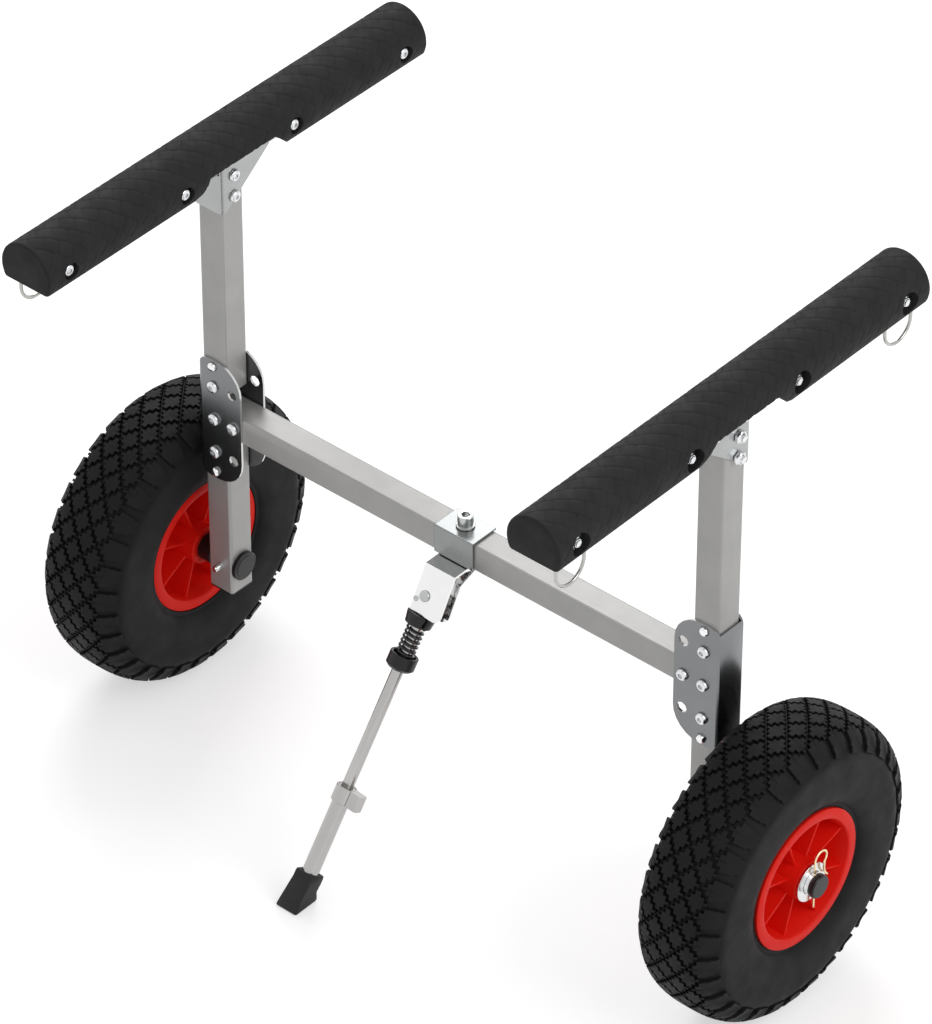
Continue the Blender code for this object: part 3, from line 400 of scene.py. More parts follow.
def refined(node, finish, body, width=0.4 * MM, segments=2, angle=30):
    """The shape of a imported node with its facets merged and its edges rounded."""
    same_place = 2e-6
    bm = bmesh.new()
    bm.from_mesh(frame["nodes"][node].data)
    bmesh.ops.remove_doubles(bm, verts=bm.verts, dist=same_place)
    bmesh.ops.dissolve_limit(bm, angle_limit=math.radians(1), verts=bm.verts, edges=bm.edges)
    mesh = bpy.data.meshes.new(node + "_body")
    bm.to_mesh(mesh)
    bm.free()
    obj = piece(node + "_body", mesh, finish, body, None, [node])
    bevel = obj.modifiers.new("edges", "BEVEL")
    bevel.width = width
    bevel.segments = segments
    bevel.limit_method = "ANGLE"
    bevel.angle_limit = math.radians(angle)
    bevel.harden_normals = True
    return obj


def paint_edge_highlights(obj, finish):
    """Gives the narrow cut faces of a bracket's two flanges a second, brighter finish: partly bare
    cut metal, partly a painted highlight along the edges.
    """
    largest = 220 * MM * MM
    obj.data.materials.append(finish)
    for face in obj.data.polygons:
        in_flange = abs(face.center.y) > HALF_TUBE
        is_edge = abs(face.normal.y) < 0.3 and face.area < largest
        if in_flange and is_edge:
            face.material_index = 1


# Fasteners, made about Z with the seat at z = 0 and the top up
BOLT_HEAD = (5.3 * MM, 3.2 * MM)  # radius and height, as in the next two
RAIL_BOLT_HEAD = (5 * MM, 2 * MM)
PAD_BOLT_HEAD = (5.4 * MM, 3.4 * MM)
SOCKET_R = 2 * MM
NUT_R, NUT_H = 4.9 * MM, 4.2 * MM


def button_head(radius, height):
    """A domed head with a hexagon socket."""
    rings = [(radius * 0.96, 0), (radius, height * 0.12), (radius, height * 0.24)]
    for share in (0.35, 0.6, 0.8, 0.93):
        rise = 0.24 + 0.76 * math.sin(share * 1.69)
        rings.append((radius * math.cos(share * 1.15), height * rise))
    rings += [(SOCKET_R * 1.22, height), (SOCKET_R, height, "hex")]
    rings.append((SOCKET_R * 0.98, height * 0.35, "hex"))
    return stack(rings)


def hex_nut():
    """A nut with a collar on top, and the bolt's end standing out of it."""
    collar = NUT_H + 0.9 * MM
    rings = [(NUT_R * 0.94, 0), (NUT_R, 0.5 * MM, "hex"), (NUT_R, NUT_H - 0.9 * MM, "hex")]
    rings += [(NUT_R * 0.99, NUT_H - 0.5 * MM), (NUT_R * 0.8, NUT_H), (NUT_R * 0.72, collar)]
    rings += [(BOLT_R + 0.1 * MM, collar), (BOLT_R, NUT_H + 0.8 * MM)]
    rings += [(BOLT_R, NUT_H + 2.0 * MM), (BOLT_R * 0.75, NUT_H + 2.5 * MM)]
    return stack(rings)


def washer(radius, thick, bore):
    edge = 0.2 * MM
    rings = [(bore, 0), (radius - edge, 0), (radius, edge), (radius, thick - edge)]
    rings += [(radius - edge, thick), (bore, thick)]
    return stack(rings, 28, closed=True)


def standing(at, direction):
    """Stands a fastener's Z along a direction at a point."""
    turn = Vector(direction).to_track_quat("Z", "Y").to_matrix().to_4x4()
    return Matrix.Translation(at) @ turn


def through_bolt(centre, direction, near, far, head=BOLT_HEAD):
    """Head, shank and nut along a direction, the head's seat near and the nut's far from a centre."""
    direction = Vector(direction).normalized()
    at_head = Vector(centre) + direction * near
    at_nut = Vector(centre) - direction * far
    shank = stack([(BOLT_R, -(near + far)), (BOLT_R, 0.2 * MM)], 20)
    return merged(
        moved(button_head(*head), standing(at_head, direction)),
        moved(shank, standing(at_head, direction)),
        moved(hex_nut(), standing(at_nut, -direction)),
    )


# Tyre. Places on it are an angle round the wheel and V, the arc length from the crown.
TYRE_HALF_W = 39.4 * MM
SHOULDER = 0.68  # how square the section is from crown to shoulder, where 1 is an ellipse
BEAD_SHOULDER = 0.42  # and from there to the bead
BEAD_OUT = 33 * MM
TREAD_DEPTH = 3.2 * MM
TREAD_COUNT = 32
TREAD_ROWS = 2  # rows of blocks to each side of the middle one
CELL = 10.4 * MM  # from one row to the next
TREAD_END, SIDE_START = 45 * MM, 52 * MM  # V where the full depth ends and the sidewall begins
SIDE_SINK = 0.35 * MM  # how deep the sidewall lies
SIDE_LINE_V, SIDE_LINE_W, SIDE_LINE_H = 93 * MM, 1.6 * MM, 0.5 * MM  # a raised line on it
BLOCK_ROOT = 0.6 * MM  # how far a block's foot goes into the carcass
CHAMFER = 0.5 * MM


def tyre_curve():
    """The tyre's outer section from the crown to the bead: arc length, offset, radius, normal."""
    turn = np.linspace(0, math.pi, 721)
    power = np.where(turn < math.pi / 2, SHOULDER, BEAD_SHOULDER)
    half_h = (TYRE_R - BEAD_R) / 2
    offset = TYRE_HALF_W * np.abs(np.sin(turn)) ** power
    radius = (TYRE_R + BEAD_R) / 2 + half_h * np.sign(np.cos(turn)) * np.abs(np.cos(turn)) ** power
    bead = (turn > math.pi / 2) & (radius > BEAD_R + 0.9 * MM)
    offset = np.where(bead, np.maximum(offset, BEAD_OUT), offset)
    step = np.hypot(np.diff(offset), np.diff(radius))
    length = np.concatenate([[0], np.cumsum(step)])
    tangent = np.stack([np.gradient(offset, length), np.gradient(radius, length)], 1)
    tangent /= np.linalg.norm(tangent, axis=1)[:, None]
    return length, offset, radius, -tangent[:, 1], tangent[:, 0]


LENGTH, OFFSET, RADIUS, NORMAL_OUT, NORMAL_UP = tyre_curve()


def depth_at(v):
    """How deep the carcass lies between the blocks: the full tread, then less to the sidewall."""
    fade = min(1, max(0, (abs(v) - TREAD_END) / (SIDE_START - TREAD_END)))
    return SIDE_SINK + (TREAD_DEPTH - SIDE_SINK) * (1 - fade * fade * (3 - 2 * fade))


def on_tyre(angle, v, sink):
    """The point at an angle round the wheel and an arc length from the crown, sunk by so much."""
    away = abs(v)
    way = 1 if v >= 0 else -1
    offset = np.interp(away, LENGTH, OFFSET) - sink * np.interp(away, LENGTH, NORMAL_OUT)
    radius = np.interp(away, LENGTH, RADIUS) - sink * np.interp(away, LENGTH, NORMAL_UP)
    return (radius * math.cos(angle), radius * math.sin(angle), way * offset)


# Sides of the blocks in millimetres, x round the wheel and y across it
STAIR = ((9.3, 2.2), (5.1, 2.2), (5.1, 5.6), (1.1, 5.6), (1.1, 8.9))
LUG_SIDE = ((9.3, 5.5), (8.7, 5.5), (8.7, 11.5), (7.2, 11.5), (7.2, 17.0))


def stepped_diamond():
    """A tread block's outline: a diamond with stepped sides."""
    loop = list(STAIR)
    loop += [(-x, y) for x, y in reversed(STAIR)]
    loop += [(-x, -y) for x, y in STAIR]
    loop += [(x, -y) for x, y in reversed(STAIR)]
    return loop


def shoulder_lug(way):
    """A shoulder block's outline: stepped towards the crown, broad and drawn out to the sidewall."""
    half = [(x, -y) for x, y in reversed(STAIR)] + list(LUG_SIDE)
    loop = half + [(-x, y) for x, y in reversed(half)]
    return [(x, way * y) for x, y in loop]


def tread_block(loop, angle, v, top_share=0.96):
    """A raised block over an outline: its foot in the carcass, its wall, a chamfer and its top."""
    points = []
    middle = sum(y for _, y in loop) / len(loop)
    for share, sink in ((1.0, None), (1.0, CHAMFER), (top_share, 0.0)):
        for x, y in loop:
            across = v + (middle + (y - middle) * share) * MM
            turn = angle + x * share * MM / TYRE_R
            deep = depth_at(across) + BLOCK_ROOT if sink is None else sink
            points.append(on_tyre(turn, across, deep))
    points.append(on_tyre(angle, v + middle * MM, 0))
    count = len(loop)
    faces = bands(3, count)
    for i in range(count):
        faces.append((2 * count + i, 2 * count + (i + 1) % count, 3 * count))
    faces.append(tuple(reversed(range(count))))
    return points, faces


def tyre_part():
    """The carcass, a closed ring with finer rows under the tread, and the blocks that stand on it."""
    steps = 3 * TREAD_COUNT
    tread_rows = np.linspace(0, 48, 17)
    side_rows = np.linspace(50, LENGTH[-1] / MM - 0.5, 26)
    half = np.concatenate([tread_rows, side_rows]) * MM
    section = [-v for v in reversed(half[1:])] + list(half)
    points = []
    for v in section:
        line = SIDE_LINE_H * math.exp(-(((abs(v) - SIDE_LINE_V) / SIDE_LINE_W) ** 2))
        for k in range(steps):
            points.append(on_tyre(2 * math.pi * k / steps, v, depth_at(v) - line))
    parts = [(points, bands(len(section), steps, closed=True))]
    block = stepped_diamond()
    pitch = 2 * math.pi / TREAD_COUNT
    for k in range(TREAD_COUNT):
        for row in range(-TREAD_ROWS, TREAD_ROWS + 1):
            parts.append(tread_block(block, pitch * (k + row % 2 / 2), row * CELL))
        for way in (-1, 1):
            lug = shoulder_lug(way)
            parts.append(tread_block(lug, pitch * (k + 0.5), way * (TREAD_ROWS + 1) * CELL, 0.97))
    return merged(*parts)


# Rim
def rim_part():
    """The rim, turned from its section: from bore to bead seat on one face, and back on the other."""
    hub_half = 35.65  # in millimetres, as the whole section
    half = [(10.4, hub_half - 0.6), (11.2, hub_half), (16.2, hub_half), (17, hub_half - 0.8)]
    half += [(17.8, 9), (20, 6.6), (44, 6), (48.2, 8), (50.6, 13)]
    half += [(51.6, 32.6), (52.2, 33.4), (53.2, 33.7), (60.2, 33.7), (61.0, 33.3), (61.2, 32.5)]
    half += [(60.6, 29), (58.4, 22)]
    profile = half + [(r, -z) for r, z in reversed(half)]
    return stack(in_mm(*profile), 96, closed=True)


def rib_part():
    """Eight tapered ribs from hub to flange on each face of the dish."""
    count = 8
    inner, outer = 16.4 * MM, 52.6 * MM
    foot, low, high = 4 * MM, 27 * MM, 29.5 * MM
    thick_foot, thick_top = 1.5 * MM, 0.8 * MM
    edge = 0.35 * MM
    parts = []
    for way in (-1, 1):
        points = []
        for r, top in ((inner, low), (outer, high)):
            points += [
                (r, -thick_foot, way * foot),
                (r, -thick_top - edge * 0.3, way * (top - edge)),
                (r, -thick_top + edge, way * top),
                (r, thick_top - edge, way * top),
                (r, thick_top + edge * 0.3, way * (top - edge)),
                (r, thick_foot, way * foot),
            ]
        faces = [tuple(range(6)), tuple(range(11, 5, -1)), *bands(2, 6)]
        for k in range(count):
            turn = Matrix.Rotation(math.radians(360 / count * (k + 0.5)), 4, "Z")
            parts.append(moved((points, faces), turn))
    return merged(*parts)


# Pad
GROOVE_PITCH = 17 * MM
GROOVE_W = 0.65 * MM
LONG_GROOVE, CROSS_GROOVE = 0.55, 0.6  # depths in millimetres
GROOVE_FADE = 6 * MM  # the pattern runs out over this length at the pad's ends
FADE_POINTS = 6  # and over this many of the section's points beside the base
PAD_EDGE = 2.2 * MM
BASE_CORNER = 1.4 * MM


def pad_outline():
    """The pad's section in (x, z) with rounded base corners, and how many points lie on its dome."""
    drop = math.asin(PAD_RISE / PAD_R)
    dome_steps, base_steps = 104, 16
    short = 0.05  # the dome ends this angle above the base, for the corner
    start, end = -drop + short, math.pi + drop - short
    points = []
    for i in range(dome_steps + 1):
        angle = start + (end - start) * i / dome_steps
        points.append((PAD_R * math.cos(angle), PAD_RISE + PAD_R * math.sin(angle)))
    half_w = PAD_R * math.cos(drop)
    left, span = -half_w + BASE_CORNER, 2 * half_w - 2 * BASE_CORNER
    base = [(-half_w + BASE_CORNER * 0.25, BASE_CORNER * 0.3), (left, 0)]
    base += [(left + span * i / base_steps, 0) for i in range(1, base_steps)]
    base += [(half_w - BASE_CORNER, 0), (half_w - BASE_CORNER * 0.25, BASE_CORNER * 0.3)]
    return points + base, dome_steps + 1


def groove_height(s, y):
    """How far the surface is sunk by the pressed pattern of slanting bricks."""
    band = (s + y) / GROOVE_PITCH
    row = math.floor(band)
    cross = (s - y) / GROOVE_PITCH + 0.5 * (row % 2)
    first = abs(band - round(band)) * GROOVE_PITCH / math.sqrt(2)
    second = abs(cross - round(cross)) * GROOVE_PITCH / math.sqrt(2)
    along = LONG_GROOVE * math.exp(-((first / GROOVE_W) ** 2))
    across = CROSS_GROOVE * math.exp(-((second / GROOVE_W) ** 2))
    return (along + across) * MM


def pad_part():
    """The pad before it is cut: sections along Y, drawn in at the rounded ends."""
    outline, curved = pad_outline()
    outline = np.array(outline)
    middle = np.array([0, PAD_RISE])
    normal = outline - middle
    normal[curved:] = (0, -1)
    normal /= np.linalg.norm(normal, axis=1)[:, None]
    length = np.concatenate([[0], np.cumsum(np.hypot(*np.diff(outline, axis=0).T))])
    half = PAD_LENGTH / 2
    ends = []
    for degrees in (0, 18, 36, 54, 72, 90):
        a = math.radians(degrees)
        ends.append((half - PAD_EDGE * (1 - math.cos(a)), PAD_EDGE * (1 - math.sin(a))))
    last = half - PAD_EDGE - 1.2 * MM
    rows = ends + [(y, 0.0) for y in np.linspace(last, -last, 380)]
    rows += [(-y, inset) for y, inset in reversed(ends)]
    points = []
    for y, inset in rows:
        for i in range(len(outline)):
            sink = 0.0
            if i < curved:
                fade = min(1, (half - abs(y)) / GROOVE_FADE)
                near_base = min(1, i / FADE_POINTS, (curved - 1 - i) / FADE_POINTS)
                sink = groove_height(length[i] - length[curved - 1] / 2, y) * fade * near_base
            shrunk = middle + (outline[i] - middle) * (1 - inset / PAD_R)
            x, z = shrunk - normal[i] * sink
            points.append((x, y, PAD_Z + z))
    return points, skin(len(rows), len(outline))


def prism(loop, low, high, place):
    """A closed prism over an outline in (x, y), from low to high along Z, then placed."""
    count = len(loop)
    points = [(x, y, low) for x, y in loop] + [(x, y, high) for x, y in loop]
    faces = [tuple(reversed(range(count))), tuple(range(count, 2 * count)), *bands(2, count)]
    return moved((points, faces), place)


def outline_arc(x, y, radius, start, end, steps):
    """Points of an arc about (x, y), its start and end in degrees."""
    loop = []
    for i in range(steps + 1):
        angle = math.radians(start + (end - start) * i / steps)
        loop.append((x + radius * math.cos(angle), y + radius * math.sin(angle)))
    return loop


# What is cut from a pad. The notch under it, seen from the side, and the wells are in millimetres.
RAIL_ROOM, RAIL_ROOM_HALF_L = 12.8 * MM, 207.8 * MM
PLATE_ROOM, PLATE_BACK, PLATE_FRONT, PLATE_TOP = 15.1 * MM, 15.4 * MM, 41.8 * MM, 20.3 * MM
NOTCH_LEFT = ((-53.7, -2), (-53.7, 0), (-50, 2.6), (-45, 4.6), (-40, 10), (-37, 15.65))
NOTCH_RIGHT = ((37, 15.65), (47, 7.5), (52, 3), (54.2, 0), (54.2, -2))
PAST_SIDES = 40 * MM  # the notch is cut from past one side to past the other
HEAD_WELL, NUT_WELL = (7.4, 19.5, 30), (9.6, -30, -16)  # radius, and from where to where along X
RING_ROOM_OUT, RING_ROOM_IN = 16.4 * MM, 12 * MM
RING_ROOM_HALF_L, RING_ROOM_TOP = 22 * MM, RAIL_Z + 9 * MM

# From the pad's end view to its side view: the outline's x runs along the pad, its y up
SIDE_VIEW = Matrix(((0, 0, 1, 0), (1, 0, 0, 0), (0, 1, 0, 0), (0, 0, 0, 1)))


def pad_cutters():
    """What the pad leaves room for: the rail and the bracket, each bolt's wells, and the rings."""
    below = PAD_Z - MM
    rail_top = (RAIL_ROOM, RAIL_ROOM_HALF_L, RAIL_Z + RAIL_ROOM)
    plate_top = (PLATE_ROOM, PLATE_FRONT, PAD_Z + PLATE_TOP)
    room = [
        box_part((-RAIL_ROOM, -RAIL_ROOM_HALF_L, below), rail_top),
        box_part((-PLATE_ROOM, -PLATE_BACK, below), plate_top),
    ]
    notch = [(y, PAD_Z + z) for y, z in in_mm(*NOTCH_LEFT, *NOTCH_RIGHT)]
    cuts = [room, [prism(notch, -PAST_SIDES, PAST_SIDES, SIDE_VIEW)]]
    for radius, low, high in in_mm(HEAD_WELL, NUT_WELL):
        wells = []
        for y in (-PAD_BOLT_Y[1], -PAD_BOLT_Y[0], PAD_BOLT_Y[0], PAD_BOLT_Y[1]):
            wells.append(prism(outline_arc(y, RAIL_Z, radius, 0, 350, 35), low, high, SIDE_VIEW))
        cuts.append(wells)
    pockets = []
    for y in (-PAD_BOLT_Y[1], PAD_BOLT_Y[1]):
        low = (-RING_ROOM_OUT, y - RING_ROOM_HALF_L, below)
        high = (-RING_ROOM_IN, y + RING_ROOM_HALF_L, RING_ROOM_TOP)
        pockets.append(box_part(low, high))
    cuts.append(pockets)
    return cuts


def carve(mesh, groups):
    """Cuts each group of closed shapes out of a mesh, one exact Boolean for each."""
    obj = bpy.data.objects.new("carving", mesh)
    bpy.context.scene.collection.objects.link(obj)
    helpers = [obj]
    for group in groups:
        cutter_mesh = mesh_from("cutter", *merged(*group))
        face_outwards(cutter_mesh)
        cutter = bpy.data.objects.new("cutter", cutter_mesh)
        bpy.context.scene.collection.objects.link(cutter)
        helpers.append(cutter)
        modifier = obj.modifiers.new("cut", "BOOLEAN")
        modifier.operation = "DIFFERENCE"
        modifier.solver = "EXACT"
        modifier.use_self = group is groups[0]  # only these shapes meet each other
        modifier.object = cutter
    bpy.context.view_layer.update()
    graph = bpy.context.evaluated_depsgraph_get()
    made = bpy.data.meshes.new_from_object(obj.evaluated_get(graph))
    for helper in helpers:
        bpy.data.objects.remove(helper, do_unlink=True)
    return made


def make_pads():
    mesh = mesh_from("pad", *pad_part())
    face_outwards(mesh)
    mesh = carve(mesh, pad_cutters())
    for side in (LEFT, RIGHT):
        name = side + "_pad"
        root = side_matrix(side)
        obj = piece(name + "_foam", mesh.copy(), FOAM, side + "_upper", root, [name], 50)


make_pads()


# Wheels
def make_wheels():
    tyre, rim, ribs = tyre_part(), rim_part(), rib_part()
    at_tyre = Matrix.Translation((-WHEEL_OUT, 0, AXLE_Z)) @ Matrix.Rotation(math.pi / 2, 4, "Y")
    at_hub = Matrix.Translation((-HUB_MIDDLE, 0, AXLE_Z)) @ Matrix.Rotation(-math.pi / 2, 4, "Y")
    for side in (LEFT, RIGHT):
        body = side + "_wheel"
        root = side_matrix(side)
        name = side + "_treaded_tyre"
        obj = piece(name, tyre, TYRE, body, root @ at_tyre, [side + "_tyre"], 30)
        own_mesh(obj)
        piece(body + "_rim", rim, RED, body, root @ at_hub, [side + "_rim"], 40)
        piece(body + "_ribs", ribs, RED, body, root @ at_hub)


make_wheels()


# Tubes and brackets
SHEET_ROUND = 0.5 * MM
RAIL_HALF_L = 207.5 * MM


def make_frame():
    refined("cross_beam", TUBE_X, "frame")
    for side in (LEFT, RIGHT):
        upper, lower = side + "_upper", side + "_lower"
        refined(upper + "_post", TUBE_Z, upper)
        refined(lower + "_post", TUBE_Z, lower)
        refined(side + "_pad_rail", TUBE_Y, upper)
        bracket = refined(side + "_corner_bracket", PLATE, "frame", SHEET_ROUND)
        # A painted highlight: the bracket's cut faces get the brighter edge finish.
        paint_edge_highlights(bracket, CUT_EDGE_HIGHLIGHT)
        refined(side + "_pad_bracket", SHEET_GREY, upper, SHEET_ROUND)
        make_plugs(side)


def plug_part():
    """A tube end plug: a rounded square cap over a narrower core."""
    half, corner = 12.3 * MM, 2 * MM
    inner = half - corner
    loop = []
    for quarter, (sx, sy) in enumerate(((1, 1), (-1, 1), (-1, -1), (1, -1))):
        loop += outline_arc(sx * inner, sy * inner, corner, 90 * quarter, 90 * quarter + 90, 4)
    core = [(x * 0.8, y * 0.8) for x, y in loop]
    flat = Matrix.Identity(4)
    return merged(prism(loop, -1.6 * MM, -0.1 * MM, flat), prism(core, -0.2 * MM, 9 * MM, flat))


def make_plugs(side):
    root = side_matrix(side)
    plug = plug_part()
    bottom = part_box(side + "_lower_post")[0].z
    at = root @ Matrix.Translation((0, 0, bottom))
    piece(side + "_post_plug", plug, BLACK, side + "_lower", at)
    for way, word in ((-1, "a"), (1, "b")):
        turn = Matrix.Rotation(way * math.pi / 2, 4, "X")
        at = root @ Matrix.Translation((0, way * RAIL_HALF_L, RAIL_Z)) @ turn
        piece(f"{side}_rail_plug_{word}", plug, BLACK, side + "_upper", at)


make_frame()


# Bolts of the frame
def packed_bolt(name, part, body, root):
    """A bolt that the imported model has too."""
    piece(name + "_set", part, ZINC, body, root, [name])


def added_bolt(name, part, body, root):
    """A bolt that is only in this scene."""
    piece(name, part, ZINC, body, root)


def make_bolts():
    gap = 0.3 * MM
    bracket_seat = BRACKET_OUT + gap
    sheet_seat = 15.1 * MM
    for side in (LEFT, RIGHT):
        root = side_matrix(side)
        upper = side + "_upper"
        for node, u, z in (
            ("upper_pivot_bolt", 0, PIVOT_DROP),
            ("outer_beam_bolt", 0, 0),
            ("inner_beam_bolt", INNER_BOLT_U, 0),
            ("lower_pivot_bolt", 0, -PIVOT_DROP),
        ):
            part = through_bolt((u, 0, BEAM_Z + z), (0, FRONT[side], 0), bracket_seat, bracket_seat)
            packed_bolt(f"{side}_{node}", part, "frame", root)
        for node, drop in (("high_bracket_bolt", 5.5 * MM), ("low_bracket_bolt", 25.5 * MM)):
            part = through_bolt((0, 0, PAD_Z - drop), (1, 0, 0), sheet_seat, sheet_seat)
            packed_bolt(f"{side}_{node}", part, upper, root)
        for index, y in enumerate((-2 * MM, 31 * MM)):
            part = through_bolt((0, y, RAIL_Z), (1, 0, 0), sheet_seat, sheet_seat, RAIL_BOLT_HEAD)
            added_bolt(f"{side}_rail_bolt_{index + 1}", part, upper, root)
        middle, outer = PAD_BOLT_Y
        ways = (("near", FRONT[side]), ("far", -FRONT[side]))
        for place, way in ways:
            packed_bolt(f"{side}_{place}_pad_bolt", pad_bolt_part(way * outer), upper, root)
        for place, way in ways:
            added_bolt(f"{side}_{place}_middle_bolt", pad_bolt_part(way * middle), upper, root)


def pad_bolt_part(y):
    """A bolt through the rail and the foam, with a washer under its head."""
    head_seat, nut_seat = 20.6 * MM, 16.8 * MM
    thick = 0.9 * MM
    bolt = through_bolt((0, y, RAIL_Z), (1, 0, 0), head_seat, nut_seat, PAD_BOLT_HEAD)
    under_head = standing((head_seat - thick, y, RAIL_Z), (1, 0, 0))
    return merged(bolt, moved(washer(6.6 * MM, thick, 3.1 * MM), under_head))


make_bolts()


# Snap buttons: a bent strip inside the post, and the button through its wall
STRIP_OUT = 10.6 * MM
STRIP_HALF_W, STRIP_THICK = 4.7 * MM, 0.8 * MM
BUTTON_FOOT = 9.5 * MM
BUTTON_RINGS = in_mm((3.2, 0), (4, 0), (4, 6.1), (3.7, 7.2), (2.9, 7.9), (1.4, 8.3))


def make_buttons():
    button, flat_strip = stack(BUTTON_RINGS), strip_part()
    for side in (LEFT, RIGHT):
        root = side_matrix(side)
        front = FRONT[side]
        for word, lead in (("upper", 1), ("lower", -1)):
            height = BUTTON_Z[word]
            node = f"{side}_{word}_snap_clip"
            turn = Matrix(((0, 0, 1, 0), (front, 0, 0, 0), (0, lead, 0, height), (0, 0, 0, 1)))
            strip = moved(flat_strip, turn)
            obj = piece(node + "_strip", strip, CHROME, f"{side}_{word}", root)
            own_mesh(obj)
            at = root @ standing((0, front * BUTTON_FOOT, height), (0, front, 0))
            body = f"{side}_{word}_button"
            piece(node + "_button", button, CHROME, body, at, [node])


def strip_part():
    """The strip, bent in (x, y) with the button's side at +x, and its width along Z."""
    button_side, bend = STRIP_OUT - 0.6 * MM, STRIP_OUT * 0.62
    path = [(button_side, -5 * MM), (button_side, 6 * MM), (bend, 15 * MM), (0, 19 * MM)]
    path += [(-bend, 15 * MM), (-STRIP_OUT, 6 * MM), (-STRIP_OUT, -3 * MM)]
    count = len(path)
    points = []
    for i, (x, y) in enumerate(path):
        before, after = path[max(0, i - 1)], path[min(count - 1, i + 1)]
        along = Vector((after[0] - before[0], after[1] - before[1])).normalized()
        nx, ny = -along.y, along.x
        for shift in (0, STRIP_THICK):
            for z in (-STRIP_HALF_W, STRIP_HALF_W):
                points.append((x + nx * shift, y + ny * shift, z))
    faces = [(0, 1, 3, 2), (4 * count - 4, 4 * count - 2, 4 * count - 1, 4 * count - 3)]
    for i in range(count - 1):
        a, b = 4 * i, 4 * i + 4
        faces += [(a, b, b + 1, a + 1), (a + 2, a + 3, b + 3, b + 2)]
        faces += [(a, a + 2, b + 2, b), (a + 1, b + 1, b + 3, a + 3)]
    return points, faces


make_buttons()


# Lashing rings
def make_rings():
    out, radius, drop, top = 14.4 * MM, 15.9 * MM, 25.1 * MM, 6 * MM
    wire_r = 1.5 * MM
    loop = outline_arc(0, -drop, radius, 180, 360, 28)
    loop += outline_arc(0, top - radius, radius, 0, 180, 28)
    for side in (LEFT, RIGHT):
        root = side_matrix(side)
        for word, way in (("near", FRONT[side]), ("far", -FRONT[side])):
            name = f"{side}_{word}_ring"
            path = [(-out, way * PAD_BOLT_Y[1] + y, RAIL_Z + z) for y, z in loop]
            wire = tube(path, wire_r, 14, closed=True)
            piece(name + "_wire", wire, WIRE, name, root, [name])


make_rings()


# Axles
def turned_on_axle():
    """What is turned about the axle, outwards from the post: name, part, finish, node and slot."""
    shaft = in_mm((9.2, -13), (9.9, -12.6), (9.9, 104.4), (9, 105))
    sleeve = in_mm((10.1, -16.2), (12.2, -16.2), (12.8, -15.7), (12.8, -12.8), (10.1, -12.8))
    inner = in_mm((10, -13), (10.4, -15), (10.4, -16.2), (9.6, -17), (3, -17.1))
    outer = in_mm((10, 104.6), (10.2, 105), (10.2, 108.8), (9.3, 110), (3, 110.1))
    spacer = in_mm((10.3, 12.9), (11.3, 12.9), (11.8, 13.4), (11.8, 26), (11.3, 26.5), (10.3, 26.5))
    ring = moved(washer(17 * MM, 2 * MM, 10.3 * MM), Matrix.Translation((0, 0, 98.7 * MM)))
    return (
        ("axle_shaft", stack(shaft, 48), CHROME, "axle", "polished_steel"),
        ("inner_sleeve", stack(sleeve, 48, closed=True), BLACK, None, "black_plastic"),
        ("axle_caps", merged(stack(inner, 40), stack(outer, 40)), BLACK, None, "black_plastic"),
        ("hub_spacer", stack(spacer, 40, closed=True), BLACK, "axle_spacer", "black_plastic"),
        ("outer_washer", ring, ZINC, "hub_washer", "zinc_plate"),
    )


def make_axles():
    along_axle = Matrix.Translation((0, 0, AXLE_Z)) @ Matrix.Rotation(-math.pi / 2, 4, "Y")
    lock_pin = stack(in_mm((2.4, -13.4), (2.8, -13), (2.8, 18.8), (2.2, 20.3)))
    turned = turned_on_axle()
    for side in (LEFT, RIGHT):
        root = side_matrix(side)
        lower = side + "_lower"
        for word, part, finish, node, slot in turned:
            nodes = [f"{side}_{node}"] if node else ()
            piece(f"{side}_{word}", part, finish, lower, root @ along_axle, nodes)
        make_r_clip(side, root)
        at = root @ standing((0, 0, AXLE_Z), (0, FRONT[side], 0))
        piece(side + "_axle_lock_pin", lock_pin, ZINC, lower, at)


def make_r_clip(side, root):
    """The spring pin: a straight leg, a loop and a waved leg, in (y, z) about the axle."""
    loop_r, loop_z = 7.1 * MM, 21.3 * MM
    path = in_mm((0, -23.6), (0, -12), (0, 0), (0, 14.5))
    path += outline_arc(loop_r, loop_z, loop_r, 176, -50, 30)
    path += in_mm((11.9, 12.4), (11.5, 9.5), (12.0, 6.5), (13, 4), (14.4, 1.8), (16, 0))
    points = [(-CLIP_OUT, FRONT[side] * -y, AXLE_Z + z) for y, z in path]
    name = side + "_r_clip"
    wire_r = 1 * MM
    wire = tube(points, wire_r)
    piece(name + "_wire", wire, GOLD, side + "_clip", root, [name])


make_axles()


# Stand. Heights in its profiles run up the leg from the pivot pin.
def make_stand():
    leg = leg_matrix()
    refined("stand_clamp", CLAMP_GREY, "frame", SHEET_ROUND)
    refined("stand_fork", CHROME, "frame", SHEET_ROUND)
    make_clamp_screw()
    make_pivot_pin()
    rod = stack(in_mm((1, -197), (4.6, -197), (5, -196.4), (5, 3), (4.4, 4.6), (2.4, 6)), 40)
    piece("stand_polished_rod", rod, SATIN, "stand_leg", leg, ["stand_rod"])
    refined("stand_spring_seat", BLACK, "stand_seat", 0.6 * MM)
    cup = in_mm((5.3, -55), (9.6, -55), (9.8, -52.4), (10.4, -52), (11.5, -52), (12, -52.5))
    cup += in_mm((12, -62.5), (9.6, -64.8), (8.9, -65), (5.3, -65))
    cup = stack(cup, 48, closed=True)
    piece("stand_cup", cup, BLACK, "stand_leg", leg, ["stand_spring_collar"])
    make_spring(leg)
    sleeve = in_mm((5.3, -172), (6.6, -172), (7, -172.4), (7, -258), (5.3, -258))
    sleeve = stack(sleeve, 40, closed=True)
    piece("stand_sleeve", sleeve, SATIN, "stand_extension", leg, ["stand_leg_tube"])
    make_leg_clamp(leg)
    refined("stand_foot", RUBBER, "stand_extension", 1.2 * MM, 3, 25)


